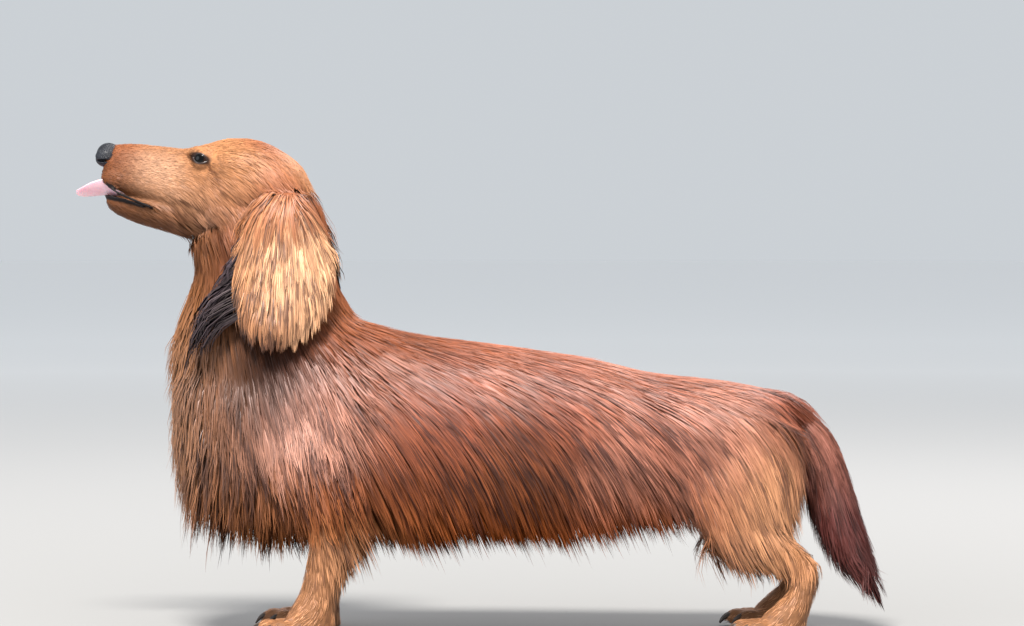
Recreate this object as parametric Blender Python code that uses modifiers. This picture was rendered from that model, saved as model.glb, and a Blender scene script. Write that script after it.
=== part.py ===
"""A longhaired dachshund standing with its head raised and the tip of its tongue out, as a
still, life-size museum model. The muzzle points along -X, the left side faces -Y and the
paws stand on z = 0. Run with: blender --background --python part.py"""

import math
import random

import bmesh
import bpy
import numpy as np
from mathutils import Vector
from mathutils.bvhtree import BVHTree
from mathutils.interpolate import poly_3d_calc

# Driving dimensions, in metres
BODY_LENGTH = 0.500  # breastbone to pin bone
WITHERS_HEIGHT = 0.250
HEAD_LENGTH = 0.175  # nose to back of the skull
CARVE_GAP = 0.00035  # between two nodes that a cut divides
CLEARANCE = 0.0003  # between a lock and a node that it passes

# The tables below draw the dog at its driving size in millimetres, and these scale them
BODY_UNIT = BODY_LENGTH / 500
HEIGHT_UNIT = WITHERS_HEIGHT / 250
HEAD_UNIT = HEAD_LENGTH / 175
POLL = (-150, 360)  # where the head meets the neck, in body units

# Meshing
RING_SIDES = 24
STEPS_PER_STATION = 4
BODY_VOXEL = 0.0030
HEAD_VOXEL = 0.0016
BODY_TRIANGLES = 2900
HEAD_TRIANGLES = 2100
MOST_SHELL_FACTOR = 2.0

# Colour and roughness of each kind of node, by the first word of its name
FINISHES = {
    "torso": ((0.24, 0.065, 0.026), 0.50),
    "neck": ((0.30, 0.085, 0.032), 0.50),
    "head": ((0.46, 0.17, 0.055), 0.55),
    "lower": ((0.44, 0.18, 0.07), 0.55),
    "ear": ((0.52, 0.24, 0.10), 0.50),
    "foreleg": ((0.46, 0.18, 0.065), 0.55),
    "hindleg": ((0.44, 0.17, 0.06), 0.55),
    "tail": ((0.16, 0.045, 0.025), 0.50),
    "nose": ((0.03, 0.03, 0.035), 0.35),
    "tongue": ((0.75, 0.33, 0.35), 0.30),
    "eye": ((0.03, 0.014, 0.008), 0.10),
    "claw": ((0.05, 0.04, 0.035), 0.40),
}

# Trunk stations: bottom x, bottom z, top x, top z, half width, how far up it is widest
TORSO = (
    (-243, 160, -240, 208, 14, 0.5),
    (-234, 128, -226, 240, 38, 0.48),
    (-205, 102, -196, 258, 54, 0.46),
    (-165, 90, -158, 266, 62, 0.46),
    (-120, 87, -116, 261, 66, 0.46),
    (-80, 86, -78, 250.5, 67, 0.48),
    (-30, 87, -30, 242, 67, 0.48),
    (30, 90, 30, 234.5, 65, 0.48),
    (90, 97, 90, 225, 60, 0.50),
    (140, 105, 140, 213.5, 56, 0.52),
    (188, 112, 190, 208, 56, 0.52),
    (222, 116, 226, 201, 50, 0.52),
    (244, 120, 250, 186, 36, 0.52),
    (254, 130, 258, 166, 16, 0.52),
)

# Neck stations: throat x, throat z, nape x, nape z, half width, how far back it is widest
NECK = (
    (-205, 165, -75, 215, 50, 0.5),
    (-236, 205, -92, 246, 54, 0.5),
    (-242, 245, -108, 265, 49, 0.5),
    (-238, 278, -119, 290, 44, 0.5),
    (-236, 305, -126, 322, 41, 0.5),
    (-234, 322, -133, 350, 40, 0.5),
    (-222, 335, -146, 366, 34, 0.5),
)

# Skull and muzzle stations from the poll: bottom x, bottom z, top x, top z, half width, widest
SKULL = (
    (-158, 9, -154, 36, 9.5, 0.45),
    (-153, 2, -149, 39.5, 14, 0.36),
    (-137, -6, -134, 40.5, 17, 0.32),
    (-114, -14, -112, 38.5, 19, 0.32),
    (-94, -22, -93, 36.8, 23, 0.36),
    (-78, -27, -76, 40.5, 29, 0.42),
    (-57, -30, -55, 45.5, 35, 0.48),
    (-34, -32, -30, 42.5, 37.5, 0.52),
    (-14, -30, -5, 29, 34, 0.52),
    (-2, -22, 8, 10, 25, 0.52),
)

# Lower jaw stations from the poll, in the same columns
JAW = (
    (-157.5, -11, -159, -4, 8, 0.6),
    (-150, -18, -151, -2, 12, 0.6),
    (-134, -25, -135, 0, 14.5, 0.6),
    (-112, -32, -114, 0, 17.5, 0.6),
    (-92, -38, -94, 0, 21, 0.6),
    (-72, -39.5, -72, 0, 26, 0.6),
    (-52, -34, -52, 0, 28, 0.6),
)

# Soft forms of the head from the poll: x, y, z and half sizes
HEAD_FORMS = (
    (-80, 18, 34, 12, 8, 5.5),  # brow
    (-48, 21, 20, 28, 14, 18),  # temple
    (-54, 23, -12, 26, 11, 17),  # cheek
    (-146, 9.5, 9, 11, 8, 9),  # upper lip pad
    (-148, 6, -7, 9, 6, 7),  # chin
)

# Mouth lines from the poll, front to corner: x, z
UPPER_LIP = ((-180, 14), (-159, 9.5), (-148, 3), (-138, -2), (-128, -7.5), (-120, -12.2))
LOWER_LIP = ((-121, -12.8), (-136, -9), (-148, -6), (-159, -3), (-180, -3))
JAW_BACK = ((-180, -60), (-79, -60), (-74, -38), (-82, -20))
LIP_ROLLS = (
    ((-157, 7, 9.5), (-151, 13.5, 5.5), (-140, 16.6, 0.5), (-128, 17.8, -6), (-119, 18.6, -11)),
    ((-157, 5.5, -5), (-150, 11.5, -8), (-136, 14.2, -11), (-122, 17.2, -14.5)),
)
LIP_RADIUS = 1.9

# Eyes from the poll
EYE_CENTRE = (-79, 18.5, 26.5)
EYE_RADIUS = 9.3
EYE_AXIS = (-0.36, 0.92, 0.17)
LID_THICKNESS = 1.5
LID_OPENING = (7.2, 4.2)  # half length and half height of the almond

EYE_ROLL = 0.26  # the outer corner is lower

# Nose from the poll: x, y, z and half sizes
NOSE_FORMS = ((-157, 0, 30.5, 8.6, 9.0, 9.0), (-159, 5.2, 29, 7.8, 5.6, 7.0))
NOSTRILS = ((-167, 4.4, 28.5, 5.0, 2.2, 2.3), (-161.5, 8.6, 26.8, 5.5, 3.0, 1.1))
NOSE_GROOVE = (-167, 0, 24, 3.2, 0.8, 6)
NOSE_VOXEL = 0.0008
NOSE_TRIANGLES = 260

# Tongue stations from the poll: x, z, half width, half thickness, how far the rims curl up
TONGUE = (
    (-122, -10.5, 11, 3.0, 0.0),
    (-136, -4.0, 12.5, 5.5, 0.0),
    (-150, 0.0, 12.5, 6.5, 0.5),
    (-160, 2.2, 12.5, 3.6, 3.0),
    (-170, 1.0, 12.0, 2.8, 4.0),
    (-179, -0.8, 9.5, 2.2, 3.0),
    (-185, -1.0, 4.5, 1.4, 1.0),
)

TONGUE_SIDES = 14

# Ear leather stations from the poll: x, y, z, half width, half thickness, depth of the cup
EAR = (
    (-14, 29, 4, 13, 4.5, 1),
    (-15, 37, 0, 15, 4.0, 2),
    (-16, 44, -8, 19, 3.4, 4),
    (-17, 49, -22, 27, 2.8, 6),
    (-17, 51.5, -44, 35, 2.3, 8),
    (-18, 55.5, -68, 36, 2.1, 8),
    (-20, 59.5, -90, 30, 1.9, 6),
    (-22, 62.5, -106, 18, 1.7, 3),
    (-23, 64, -113, 8, 1.3, 1),
)
EAR_SIDES = 12

# Limb stations: x, y, z, half size fore and aft, half size across
FORELEG = (
    (-150, 40, 175, 46, 22),
    (-138, 46, 140, 38, 24),
    (-122, 49, 108, 27, 20),
    (-122, 49, 80, 19, 16.5),
    (-128, 48, 55, 15.5, 14.5),
    (-133, 48, 34, 15.5, 15.0),
    (-137, 49, 18, 19, 17.5),
    (-140, 49, 6, 23, 19.0),
    (-141, 49, -6, 22, 18.0),
)
THIGH = (
    (222, 30, 178, 34, 20),
    (214, 38, 150, 46, 25),
    (206, 43, 122, 48, 25),
    (200, 46, 98, 36, 21),
    (192, 47, 82, 22, 17),
)
SHANK = (
    (190, 46, 96, 24, 18),
    (214, 47, 84, 22, 16),
    (238, 47, 70, 15.5, 13),
    (256, 47, 60, 11.5, 11),
    (264, 47, 52, 10.5, 10.5),
)
PASTERN = (
    (262, 47, 62, 10.5, 10),
    (262, 47, 50, 12, 11),
    (258, 47, 32, 12, 12),
    (250, 47.5, 18, 16, 15),
    (244, 48, 6, 21, 16.5),
    (243, 48, -6, 20, 16),
)
TAIL = (
    (222, 0, 186, 16, 16),
    (244, 0, 183, 15, 15),
    (263, 0, 168, 13, 13),
    (277, 0, 145, 11.5, 11.5),
    (287, 0, 118, 10, 10),
    (296, 0, 92, 8, 8),
    (306, 0, 68, 6, 6),
    (316, 0, 48, 4, 4),
)

# Paws: x and y of the heel of the paw, reach of the middle toes, spread of the toes
PAWS = {"front": (-146, 49, 27, 21), "hind": (238, 48, 25, 18)}
TOE_SIZE = (11.5, 6.2, 8.6)
TOE_HEIGHT = 7.0
TOE_SHARES = ((-0.72, 0.62), (-0.26, 1.0), (0.26, 1.0), (0.72, 0.62))  # spread, reach

CLAW_SIDES = 6
CLAW_PATH = ((3, 0, 1.5, 2.3), (-6, 0, 2.5, 2.3), (-12, 0, 0, 1.7), (-16, 0, -4.5, 0.5))

# Long coat. A tier is a line of roots read along a curve through its rows. Each row holds a
# point inside the body, the side that the root faces (0 out, 90 front, -90 rear), the lie of
# the lock (0 back, -90 down), its length and its width. lifts are its heights over the skin
# at LIFT_STATIONS, and cling runs from 0, hanging free, to 1, following the skin.
LIFT_STATIONS = (0.0, 0.2, 0.5, 0.8, 1.0)
RING_STATIONS = (0.0, 0.25, 0.65)
RING_WIDTHS = (0.4, 0.95, 0.85)
LOCK_STEPS = 20
LOCK_FALL = 0.012  # how far each step turns a lock down
LOCK_CURL = 0.25  # the most that a lock turns sideways, in radians
LOCK_SEED = 4
LOCK_OVERLAP = 3.0  # every second lock lies over its neighbours by this
ROOT_RAY = 0.3
COAT_ORDER = ("torso", "neck", "tail", "foreleg_left", "foreleg_right", "hindleg_left",
              "hindleg_right", "ear_left", "ear_right")
TIERS = (
    {"node": "neck", "count": 3, "thick": 2.4, "cling": 0.1, "lifts": (-7, 2, 5, 8, 9), "rows": (
        (-198, 0, 316, 84, -92, 62, 26), (-192, 0, 312, 30, -86, 62, 26))},
    {"node": "neck", "count": 3, "thick": 2.4, "cling": 0.1, "lifts": (-7, 3, 8, 12, 13), "rows": (
        (-198, 0, 280, 84, -92, 62, 28), (-190, 0, 276, 30, -84, 62, 28))},
    {"node": "torso", "count": 3, "thick": 2.4, "cling": 0.1, "lifts": (-8, 3, 10, 15, 17),
     "rows": ((-200, 0, 236, 80, -90, 80, 30), (-190, 0, 232, 26, -84, 80, 30))},
    {"node": "torso", "count": 3, "thick": 2.4, "cling": 0.1, "lifts": (-8, 3, 10, 15, 16),
     "rows": ((-200, 0, 190, 80, -92, 84, 30), (-196, 0, 188, 30, -88, 84, 30))},
    {"node": "torso", "count": 4, "thick": 2.4, "cling": 0.0, "lifts": (-8, 2, 5, 8, 9), "rows": (
        (-200, 0, 146, 80, -92, 66, 28), (-196, 0, 138, 40, -92, 62, 26),
        (-192, 0, 134, 16, -96, 50, 26))},
    {"node": "torso", "count": 4, "thick": 2.4, "cling": 0.3, "lifts": (-8, 2, 5, 8, 9), "rows": (
        (-192, 0, 216, 14, -78, 84, 32), (-150, 0, 226, -6, -60, 84, 34),
        (-96, 0, 218, 0, -52, 84, 34))},
    {"node": "torso", "count": 7, "thick": 2.4, "cling": 0.3, "lifts": (-7, 2, 4.5, 7, 8.5),
     "rows": ((-76, 0, 204, 0, -50, 84, 36), (40, 0, 192, 0, -44, 86, 36),
              (158, 0, 182, 0, -40, 74, 34))},
    {"node": "torso", "count": 9, "thick": 2.4, "cling": 0.0, "lifts": (-7, 2, 2, 2, 2),
     "rows": ((-82, 0, 140, 0, -80, 80, 34), (0, 0, 138, 0, -80, 78, 34),
              (80, 0, 140, 0, -78, 78, 34), (150, 0, 146, 0, -78, 74, 32))},
    {"node": "foreleg", "count": 4, "thick": 2.4, "cling": 0.0, "lifts": (-6, 2, 2.5, 3, 3),
     "rows": ((-122, 49, 114, -52, -62, 60, 19), (-122, 49, 88, -58, -66, 50, 18),
              (-126, 49, 62, -62, -70, 36, 15))},
    {"node": "hindleg", "count": 4, "thick": 2.4, "cling": 0.1, "lifts": (-7, 2.2, 3, 5, 6),
     "rows": ((222, 42, 143, -52, -72, 56, 22), (224, 43, 122, -58, -74, 52, 22),
              (226, 45, 92, -60, -70, 40, 17))},
    {"node": "hindleg", "count": 3, "thick": 2.4, "cling": 0.0, "lifts": (-7, 2, 3, 4, 4),
     "rows": ((182, 43, 130, 10, -84, 66, 26), (200, 43, 118, 0, -74, 56, 26),
              (216, 43, 104, 0, -58, 44, 24))},
    {"node": "tail", "count": 4, "thick": 2.4, "cling": 0.1, "lifts": (-5, 1.6, 4, 6.5, 8),
     "rows": ((262, 0, 166, -20, -70, 62, 20), (284, 0, 124, -10, -64, 62, 20),
              (304, 0, 74, -10, -52, 48, 16))},
    {"node": "tail", "count": 4, "thick": 2.4, "cling": 0.0, "lifts": (-5, 0, 0, 0, 0),
     "rows": ((275, 0, 142, 74, -92, 54, 20), (284, 0, 118, 74, -84, 56, 20),
              (300, 0, 84, 74, -62, 48, 15))},
    {"node": "ear", "count": 6, "thick": 1.9, "cling": 0.2, "lifts": (-1, 1.6, 4, 6, 6),
     "levels": 3,
     "rows": ((-180, 50, 338, 0, -112, 92, 24), (-163, 50, 344, 0, -92, 112, 25),
              (-148, 50, 338, 0, -70, 84, 24))},
    {"node": "ear", "count": 6, "thick": 1.9, "cling": 0.0, "lifts": (-1, 1.4, 3, 5, 6),
     "rows": ((-190, 50, 302, 0, -124, 74, 18), (-178, 50, 278, 0, -100, 56, 22),
              (-154, 50, 278, 0, -80, 46, 24), (-145, 50, 304, 0, -60, 42, 20))},
)

# Outlines that divide the body, in the x-z plane
HEAD_OUTLINE = ((-420, 240), (-239, 316), (-122, 356), (-90, 470), (-420, 470))
NECK_OUTLINE = ((-320, 240), (-240, 252), (-112, 272), (-40, 290), (-90, 420), (-320, 400))
FORELEG_OUTLINE = (
    (-184, -20), (-182, 50), (-172, 92), (-156, 122), (-130, 134),
    (-104, 124), (-90, 98), (-88, 50), (-98, -20),
)
HINDLEG_OUTLINE = (
    (140, -20), (142, 80), (156, 118), (178, 148), (206, 162),
    (234, 156), (254, 138), (286, 110), (290, -20),
)
TAIL_OUTLINE = ((238, 230), (250, 172), (261, 150), (261, -20), (400, -20), (400, 230))
LEG_INNER_FACE = 20
LEG_OUTER_FACE = 120
TAIL_HALF_WIDTH = 19


def body_point(x, y, z):
    return Vector((x * BODY_UNIT, y * HEIGHT_UNIT, z * HEIGHT_UNIT))


def head_point(x, y, z):
    poll = body_point(POLL[0], 0, POLL[1])
    return poll + Vector((x, y, z)) * HEAD_UNIT


def clear_scene():
    for obj in list(bpy.data.objects):
        bpy.data.objects.remove(obj)


def collection(name):
    made = bpy.data.collections.new(name)
    bpy.context.scene.collection.children.link(made)
    return made


def paint(obj):
    """Gives a node the finish of its kind."""
    colour, roughness = FINISHES[obj.name.split("_")[0]]
    made = bpy.data.materials.new(obj.name + "_finish")
    made.use_nodes = True
    shader = made.node_tree.nodes["Principled BSDF"]
    shader.inputs["Base Color"].default_value = (*colour, 1)
    shader.inputs["Roughness"].default_value = roughness
    shader.inputs["Metallic"].default_value = 0.0
    obj.data.materials.clear()
    obj.data.materials.append(made)


def object_from(bm, name, home):
    """A bmesh as an object of the collection, with its faces pointing out."""
    bmesh.ops.recalc_face_normals(bm, faces=bm.faces)
    mesh = bpy.data.meshes.new(name)
    bm.to_mesh(mesh)
    bm.free()
    obj = bpy.data.objects.new(name, mesh)
    home.objects.link(obj)
    return obj


def remove(obj):
    bpy.data.objects.remove(obj)


def apply_modifiers(obj):
    graph = bpy.context.evaluated_depsgraph_get()
    mesh = bpy.data.meshes.new_from_object(obj.evaluated_get(graph))
    obj.modifiers.clear()
    obj.data = mesh
    return obj


def smooth_rows(rows, steps):
    """Rows of numbers read along a Catmull-Rom curve through them."""
    rows = np.array(rows, float)
    ends = np.vstack([2 * rows[0] - rows[1], rows, 2 * rows[-1] - rows[-2]])
    read = []
    for i in range(1, len(ends) - 2):
        a, b, c, d = ends[i - 1], ends[i], ends[i + 1], ends[i + 2]
        for t in np.linspace(0, 1, steps, endpoint=False):
            read.append(
                0.5 * (2 * b + (c - a) * t + (2 * a - 5 * b + 4 * c - d) * t**2
                       + (3 * b - a - 3 * c + d) * t**3)
            )
    read.append(rows[-1])
    return read


def loft(name, rings, home):
    """A closed skin over rings that have the same number of points."""
    bm = bmesh.new()
    loops = [[bm.verts.new(p) for p in ring] for ring in rings]
    sides = len(loops[0])
    for low, high in zip(loops, loops[1:]):
        for i in range(sides):
            j = (i + 1) % sides
            bm.faces.new((low[i], low[j], high[j], high[i]))
    bm.faces.new(reversed(loops[0]))
    bm.faces.new(loops[-1])
    return object_from(bm, name, home)


def trunk_ring(row, place):
    """An egg-shaped ring between a bottom and a top point of the mid plane."""
    bottom_x, bottom_z, top_x, top_z, half_width, widest = row
    bottom = place(bottom_x, 0, bottom_z)
    top = place(top_x, 0, top_z)
    middle = bottom.lerp(top, widest)
    side = place(0, half_width, 0) - place(0, 0, 0)
    ring = []
    for i in range(RING_SIDES):
        turn = 2 * math.pi * i / RING_SIDES
        end = top if math.sin(turn) > 0 else bottom
        ring.append(middle + side * math.cos(turn) + (end - middle) * abs(math.sin(turn)))
    return ring


def trunk(name, rows, place, home):
    rings = [trunk_ring(row, place) for row in smooth_rows(rows, STEPS_PER_STATION)]
    return loft(name, rings, home)


def limb(name, rows, hand, home):
    """A tube of oval sections along a path. hand is 1 on the +Y side and -1 on the other."""
    rows = smooth_rows(rows, STEPS_PER_STATION)
    centres = [body_point(row[0], hand * row[1], row[2]) for row in rows]
    rings = []
    for i, row in enumerate(rows):
        along = centres[min(i + 1, len(rows) - 1)] - centres[max(i - 1, 0)]
        fore = along.cross(Vector((0, 1, 0))).normalized()
        across = fore.cross(along).normalized()
        ring = []
        for k in range(RING_SIDES):
            turn = 2 * math.pi * k / RING_SIDES
            offset = fore * row[3] * math.cos(turn) + across * row[4] * math.sin(turn)
            ring.append(centres[i] + offset * HEIGHT_UNIT)
        rings.append(ring)
    return loft(name, rings, home)


def ball(name, centre, size, home, segments=20):
    """An ellipsoid. centre and its half sizes are in metres."""
    bm = bmesh.new()
    bmesh.ops.create_uvsphere(bm, u_segments=segments, v_segments=segments // 2, radius=1)
    bmesh.ops.scale(bm, vec=size, verts=bm.verts)
    bmesh.ops.translate(bm, vec=centre, verts=bm.verts)
    return object_from(bm, name, home)


def prism(name, outline, place, low_y, high_y, home):
    """A flat outline of the x-z plane drawn out from low_y to high_y."""
    bm = bmesh.new()
    face = bm.faces.new([bm.verts.new(place(x, low_y, z)) for x, z in outline])
    drawn = bmesh.ops.extrude_face_region(bm, geom=[face])["geom"]
    reach = place(0, high_y, 0) - place(0, low_y, 0)
    moved = [v for v in drawn if isinstance(v, bmesh.types.BMVert)]
    bmesh.ops.translate(bm, vec=reach, verts=moved)
    return object_from(bm, name, home)


def fuse(name, pieces, voxel, triangles, home, smoothing=6):
    """One closed skin over overlapping pieces, with soft creases between them."""
    bm = bmesh.new()
    for piece in pieces:
        bm.from_mesh(piece.data)
    fused = object_from(bm, name, home)
    for piece in pieces:
        remove(piece)
    remesh = fused.modifiers.new("Skin", "REMESH")
    remesh.mode = "VOXEL"
    remesh.voxel_size = voxel
    relax = fused.modifiers.new("Relax", "SMOOTH")
    relax.factor = 0.5
    relax.iterations = smoothing
    apply_modifiers(fused)
    thin_out(fused, triangles)
    return fused


def thin_out(obj, triangles):
    bm = bmesh.new()
    bm.from_mesh(obj.data)
    bmesh.ops.triangulate(bm, faces=bm.faces)
    bm.to_mesh(obj.data)
    bm.free()
    thin = obj.modifiers.new("Thin", "DECIMATE")
    thin.ratio = min(1.0, triangles / len(obj.data.polygons))
    apply_modifiers(obj)


def boolean(obj, operation, others, solver="MANIFOLD"):
    """Applies one Boolean with all the others, which stay."""
    tools = collection("tools")
    for other in others:
        tools.objects.link(other)
    cut = obj.modifiers.new(operation, "BOOLEAN")
    cut.operation = operation
    cut.operand_type = "COLLECTION"
    cut.collection = tools
    cut.solver = solver
    apply_modifiers(obj)
    bpy.data.collections.remove(tools)
    return obj


def largest_shell(obj):
    """Keeps the closed surface that holds the most, so that no scrap or sealed hollow stays."""
    bm = bmesh.new()
    bm.from_mesh(obj.data)
    bmesh.ops.triangulate(bm, faces=bm.faces)
    left = set(bm.faces)
    shells = []
    while left:
        shell, edge = set(), [left.pop()]
        while edge:
            face = edge.pop()
            shell.add(face)
            for near in {f for e in face.edges for f in e.link_faces} & left:
                left.discard(near)
                edge.append(near)
        shells.append(shell)

    def holds(shell):
        corners = [[v.co for v in face.verts] for face in shell]
        return sum(a.dot(b.cross(c)) for a, b, c in corners)

    kept = max(shells, key=holds)
    loose = [f for f in bm.faces if f not in kept]
    bmesh.ops.delete(bm, geom=loose, context="FACES")
    bm.to_mesh(obj.data)
    bm.free()
    return obj


def copy_of(obj, name, home):
    made = bpy.data.objects.new(name, obj.data.copy())
    home.objects.link(made)
    return made


def grown(obj, home, gap):
    """A copy whose faces stand out by the gap."""
    made = copy_of(obj, obj.name + "_grown", home)
    bm = bmesh.new()
    bm.from_mesh(made.data)
    bm.normal_update()
    moves = [
        (v, v.normal * min(v.calc_shell_factor(), MOST_SHELL_FACTOR) * gap) for v in bm.verts
    ]
    for v, move in moves:
        v.co += move
    bm.to_mesh(made.data)
    bm.free()
    return made


def carve(whole, name, region, home):
    """Takes what lies in the region off the whole, as a node of its own."""
    piece = copy_of(whole, name, home)
    boolean(piece, "INTERSECT", [region])
    wider = grown(region, home, CARVE_GAP)
    boolean(whole, "DIFFERENCE", [wider])
    remove(wider)
    remove(region)
    return largest_shell(piece)


def keep_clear(obj, others, home, gap=CLEARANCE):
    """Cuts obj back from those of the other nodes that it comes too near."""
    wider = [grown(other, home, gap) for other in others]
    surface = surface_of([obj])
    near = [other for other in wider if surface.overlap(surface_of([other]))]
    if near:
        boolean(obj, "DIFFERENCE", near)
        largest_shell(obj)
    for other in wider:
        remove(other)
    return obj


def body_masses(home, hands=(-1, 1)):
    """The overlapping lofts of trunk, neck, limbs and tail."""
    made = [
        trunk("torso_mass", TORSO, body_point, home),
        trunk("neck_mass", NECK, body_point, home),
        limb("tail_mass", TAIL, 1, home),
    ]
    for hand in hands:
        made += [
            limb("foreleg_mass", FORELEG, hand, home),
            limb("thigh_mass", THIGH, hand, home),
            limb("shank_mass", SHANK, hand, home),
            limb("pastern_mass", PASTERN, hand, home),
        ]
        for which in PAWS:
            for at in toe_places(which, hand):
                size = Vector(TOE_SIZE) * HEIGHT_UNIT
                made.append(ball("toe_mass", at, size, home))
    return made


def toe_places(which, hand):
    """The middles of the four toes of a paw."""
    heel_x, heel_y, reach, spread = PAWS[which]
    return [
        body_point(heel_x - reach * far, hand * (heel_y + spread * out), TOE_HEIGHT)
        for out, far in TOE_SHARES
    ]


def head_masses(home):
    made = [
        trunk("skull_mass", SKULL, head_point, home),
        trunk("jaw_mass", JAW, head_point, home),
    ]
    for x, y, z, *size in HEAD_FORMS:
        for hand in (-1, 1):
            centre = head_point(x, hand * y, z)
            made.append(ball("head_form", centre, Vector(size) * HEAD_UNIT, home))
    return made


def wire(name, points, radius, home):
    """A round tube along head points, as a mesh with its caps welded."""
    curve = bpy.data.curves.new(name, "CURVE")
    curve.dimensions = "3D"
    curve.bevel_depth = radius * HEAD_UNIT
    curve.bevel_resolution = 2
    curve.use_fill_caps = True
    line = curve.splines.new("POLY")
    line.points.add(len(points) - 1)
    for point, place in zip(line.points, points):
        point.co = (*place, 1)
    drawn = bpy.data.objects.new(name, curve)
    home.objects.link(drawn)
    graph = bpy.context.evaluated_depsgraph_get()
    mesh = bpy.data.meshes.new_from_object(drawn.evaluated_get(graph))
    remove(drawn)
    bm = bmesh.new()
    bm.from_mesh(mesh)
    bmesh.ops.remove_doubles(bm, verts=bm.verts, dist=1e-6)
    return object_from(bm, name, home)


def lip_rolls(home):
    made = []
    for line in LIP_ROLLS:
        for hand in (-1, 1):
            points = [head_point(x, hand * y, z) for x, y, z in smooth_rows(line, 3)]
            made.append(wire("lip_mass", points, LIP_RADIUS, home))
    return made


def eye_frame(hand):
    """Centre of the eyeball, and its outward, long and upright directions."""
    centre = head_point(EYE_CENTRE[0], hand * EYE_CENTRE[1], EYE_CENTRE[2])
    out = Vector((EYE_AXIS[0], hand * EYE_AXIS[1], EYE_AXIS[2])).normalized()
    level = Vector((0, 0, 1)).cross(out).normalized() * hand
    up = level.cross(out).normalized() * hand
    if up.z < 0:
        up = -up
    if level.x < 0:
        level = -level
    long = level * math.cos(EYE_ROLL) - up * math.sin(EYE_ROLL)
    high = up * math.cos(EYE_ROLL) + level * math.sin(EYE_ROLL)
    return centre, out, long, high


def lid_masses(home):
    size = (EYE_RADIUS + LID_THICKNESS) * HEAD_UNIT
    return [ball("lid_mass", eye_frame(hand)[0], (size,) * 3, home, 28) for hand in (-1, 1)]


def lid_opening(hand, home):
    """An almond-shaped plug along the eye's axis."""
    centre, out, long, high = eye_frame(hand)
    half_length, half_height = (size * HEAD_UNIT for size in LID_OPENING)
    rim = []
    steps = 7
    for side in (1, -1):
        for i in range(steps):
            t = i / steps * 2 - 1
            rim.append((t * side * half_length, side * half_height * (1 - t * t)))
    near, far = EYE_RADIUS * 0.3 * HEAD_UNIT, EYE_RADIUS * 2 * HEAD_UNIT
    rings = [
        [centre + long * a + high * b + out * depth for a, b in rim] for depth in (near, far)
    ]
    return loft("lid_opening", rings, home)


def make_head(shop, model):
    """Head and lower jaw, with lids, lips and the line of the mouth."""
    neck = trunk("neck_mass", NECK, body_point, shop)
    masses = head_masses(shop) + lip_rolls(shop) + lid_masses(shop) + [neck]
    region = prism("region", HEAD_OUTLINE, body_point, -150, 150, shop)
    fused = fuse("fused_head", masses, HEAD_VOXEL, HEAD_TRIANGLES, shop, 5)
    head = carve(fused, "head", region, model)
    remove(fused)
    mouth = prism("mouth", UPPER_LIP + LOWER_LIP, head_point, -40, 40, shop)
    jaw_region = prism("jaw_region", LOWER_LIP + JAW_BACK, head_point, -60, 60, shop)
    jaw = carve(head, "lower_jaw", jaw_region, model)
    boolean(head, "DIFFERENCE", [mouth])
    boolean(jaw, "DIFFERENCE", [mouth])
    remove(mouth)
    return largest_shell(head), largest_shell(jaw)


def make_eye(hand, head, shop, model):
    centre = eye_frame(hand)[0]
    size = EYE_RADIUS * HEAD_UNIT
    name = "eye_left" if hand < 0 else "eye_right"
    eye = ball(name, centre, (size,) * 3, model, 14)
    socket = grown(eye, shop, CARVE_GAP)
    opening = lid_opening(hand, shop)
    boolean(head, "DIFFERENCE", [socket, opening])
    remove(socket)
    remove(opening)
    return eye


def head_ball(name, form, hand, home, segments=20):
    x, y, z, *size = form
    return ball(name, head_point(x, hand * y, z), Vector(size) * HEAD_UNIT, home, segments)


def make_nose(head, jaw, shop, model):
    pads = [head_ball("pad", form, hand, shop) for form in NOSE_FORMS for hand in (-1, 1)]
    nose = fuse("nose", pads, NOSE_VOXEL, NOSE_TRIANGLES, model, 2)
    cuts = [head_ball("nostril", form, hand, shop, 8) for form in NOSTRILS for hand in (-1, 1)]
    cuts.append(head_ball("groove", NOSE_GROOVE, 1, shop, 8))
    boolean(nose, "DIFFERENCE", cuts)
    for cut in cuts:
        remove(cut)
    largest_shell(nose)
    keep_clear(head, [nose], shop, CARVE_GAP)
    return nose


def make_tongue(head, jaw, shop, model):
    """A tongue that fills the mouth's gap and cups upwards where it shows."""
    rings = []
    for x, z, half_width, half_thick, curl in smooth_rows(TONGUE, 2):
        ring = []
        for i in range(TONGUE_SIDES):
            turn = 2 * math.pi * i / TONGUE_SIDES
            across = math.cos(turn)
            height = z + curl * across**2 + half_thick * math.sin(turn)
            ring.append(head_point(x, half_width * across, height))
        rings.append(ring)
    tongue = loft("tongue", rings, model)
    return keep_clear(tongue, [head, jaw], shop, CARVE_GAP)


def make_ear(hand, home):
    """The hanging leather of an ear, hollow on its inner side."""
    rings = []
    for x, y, z, half_width, half_thick, cup in smooth_rows(EAR, 2):
        ring = []
        for i in range(EAR_SIDES):
            turn = 2 * math.pi * i / EAR_SIDES
            across = math.cos(turn)
            out = y - cup * across**2 + half_thick * math.sin(turn)
            ring.append(head_point(x + half_width * across, hand * out, z))
        rings.append(ring)
    name = "ear_left" if hand < 0 else "ear_right"
    return loft(name, rings, home)


def make_claws(which, hand, leg, shop, model):
    side = "left" if hand < 0 else "right"
    for number, toe in enumerate(toe_places(which, hand), 1):
        rings = []
        for x, y, z, radius in smooth_rows(CLAW_PATH, 1):
            ring = []
            for k in range(CLAW_SIDES):
                turn = 2 * math.pi * k / CLAW_SIDES
                offset = Vector((x, y + radius * math.cos(turn), z + radius * math.sin(turn)))
                ring.append(toe + offset * HEIGHT_UNIT)
            rings.append(ring)
        claw = loft(f"claw_{which}_{side}_{number}", rings, model)
        keep_clear(claw, [leg], shop, CARVE_GAP)


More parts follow.
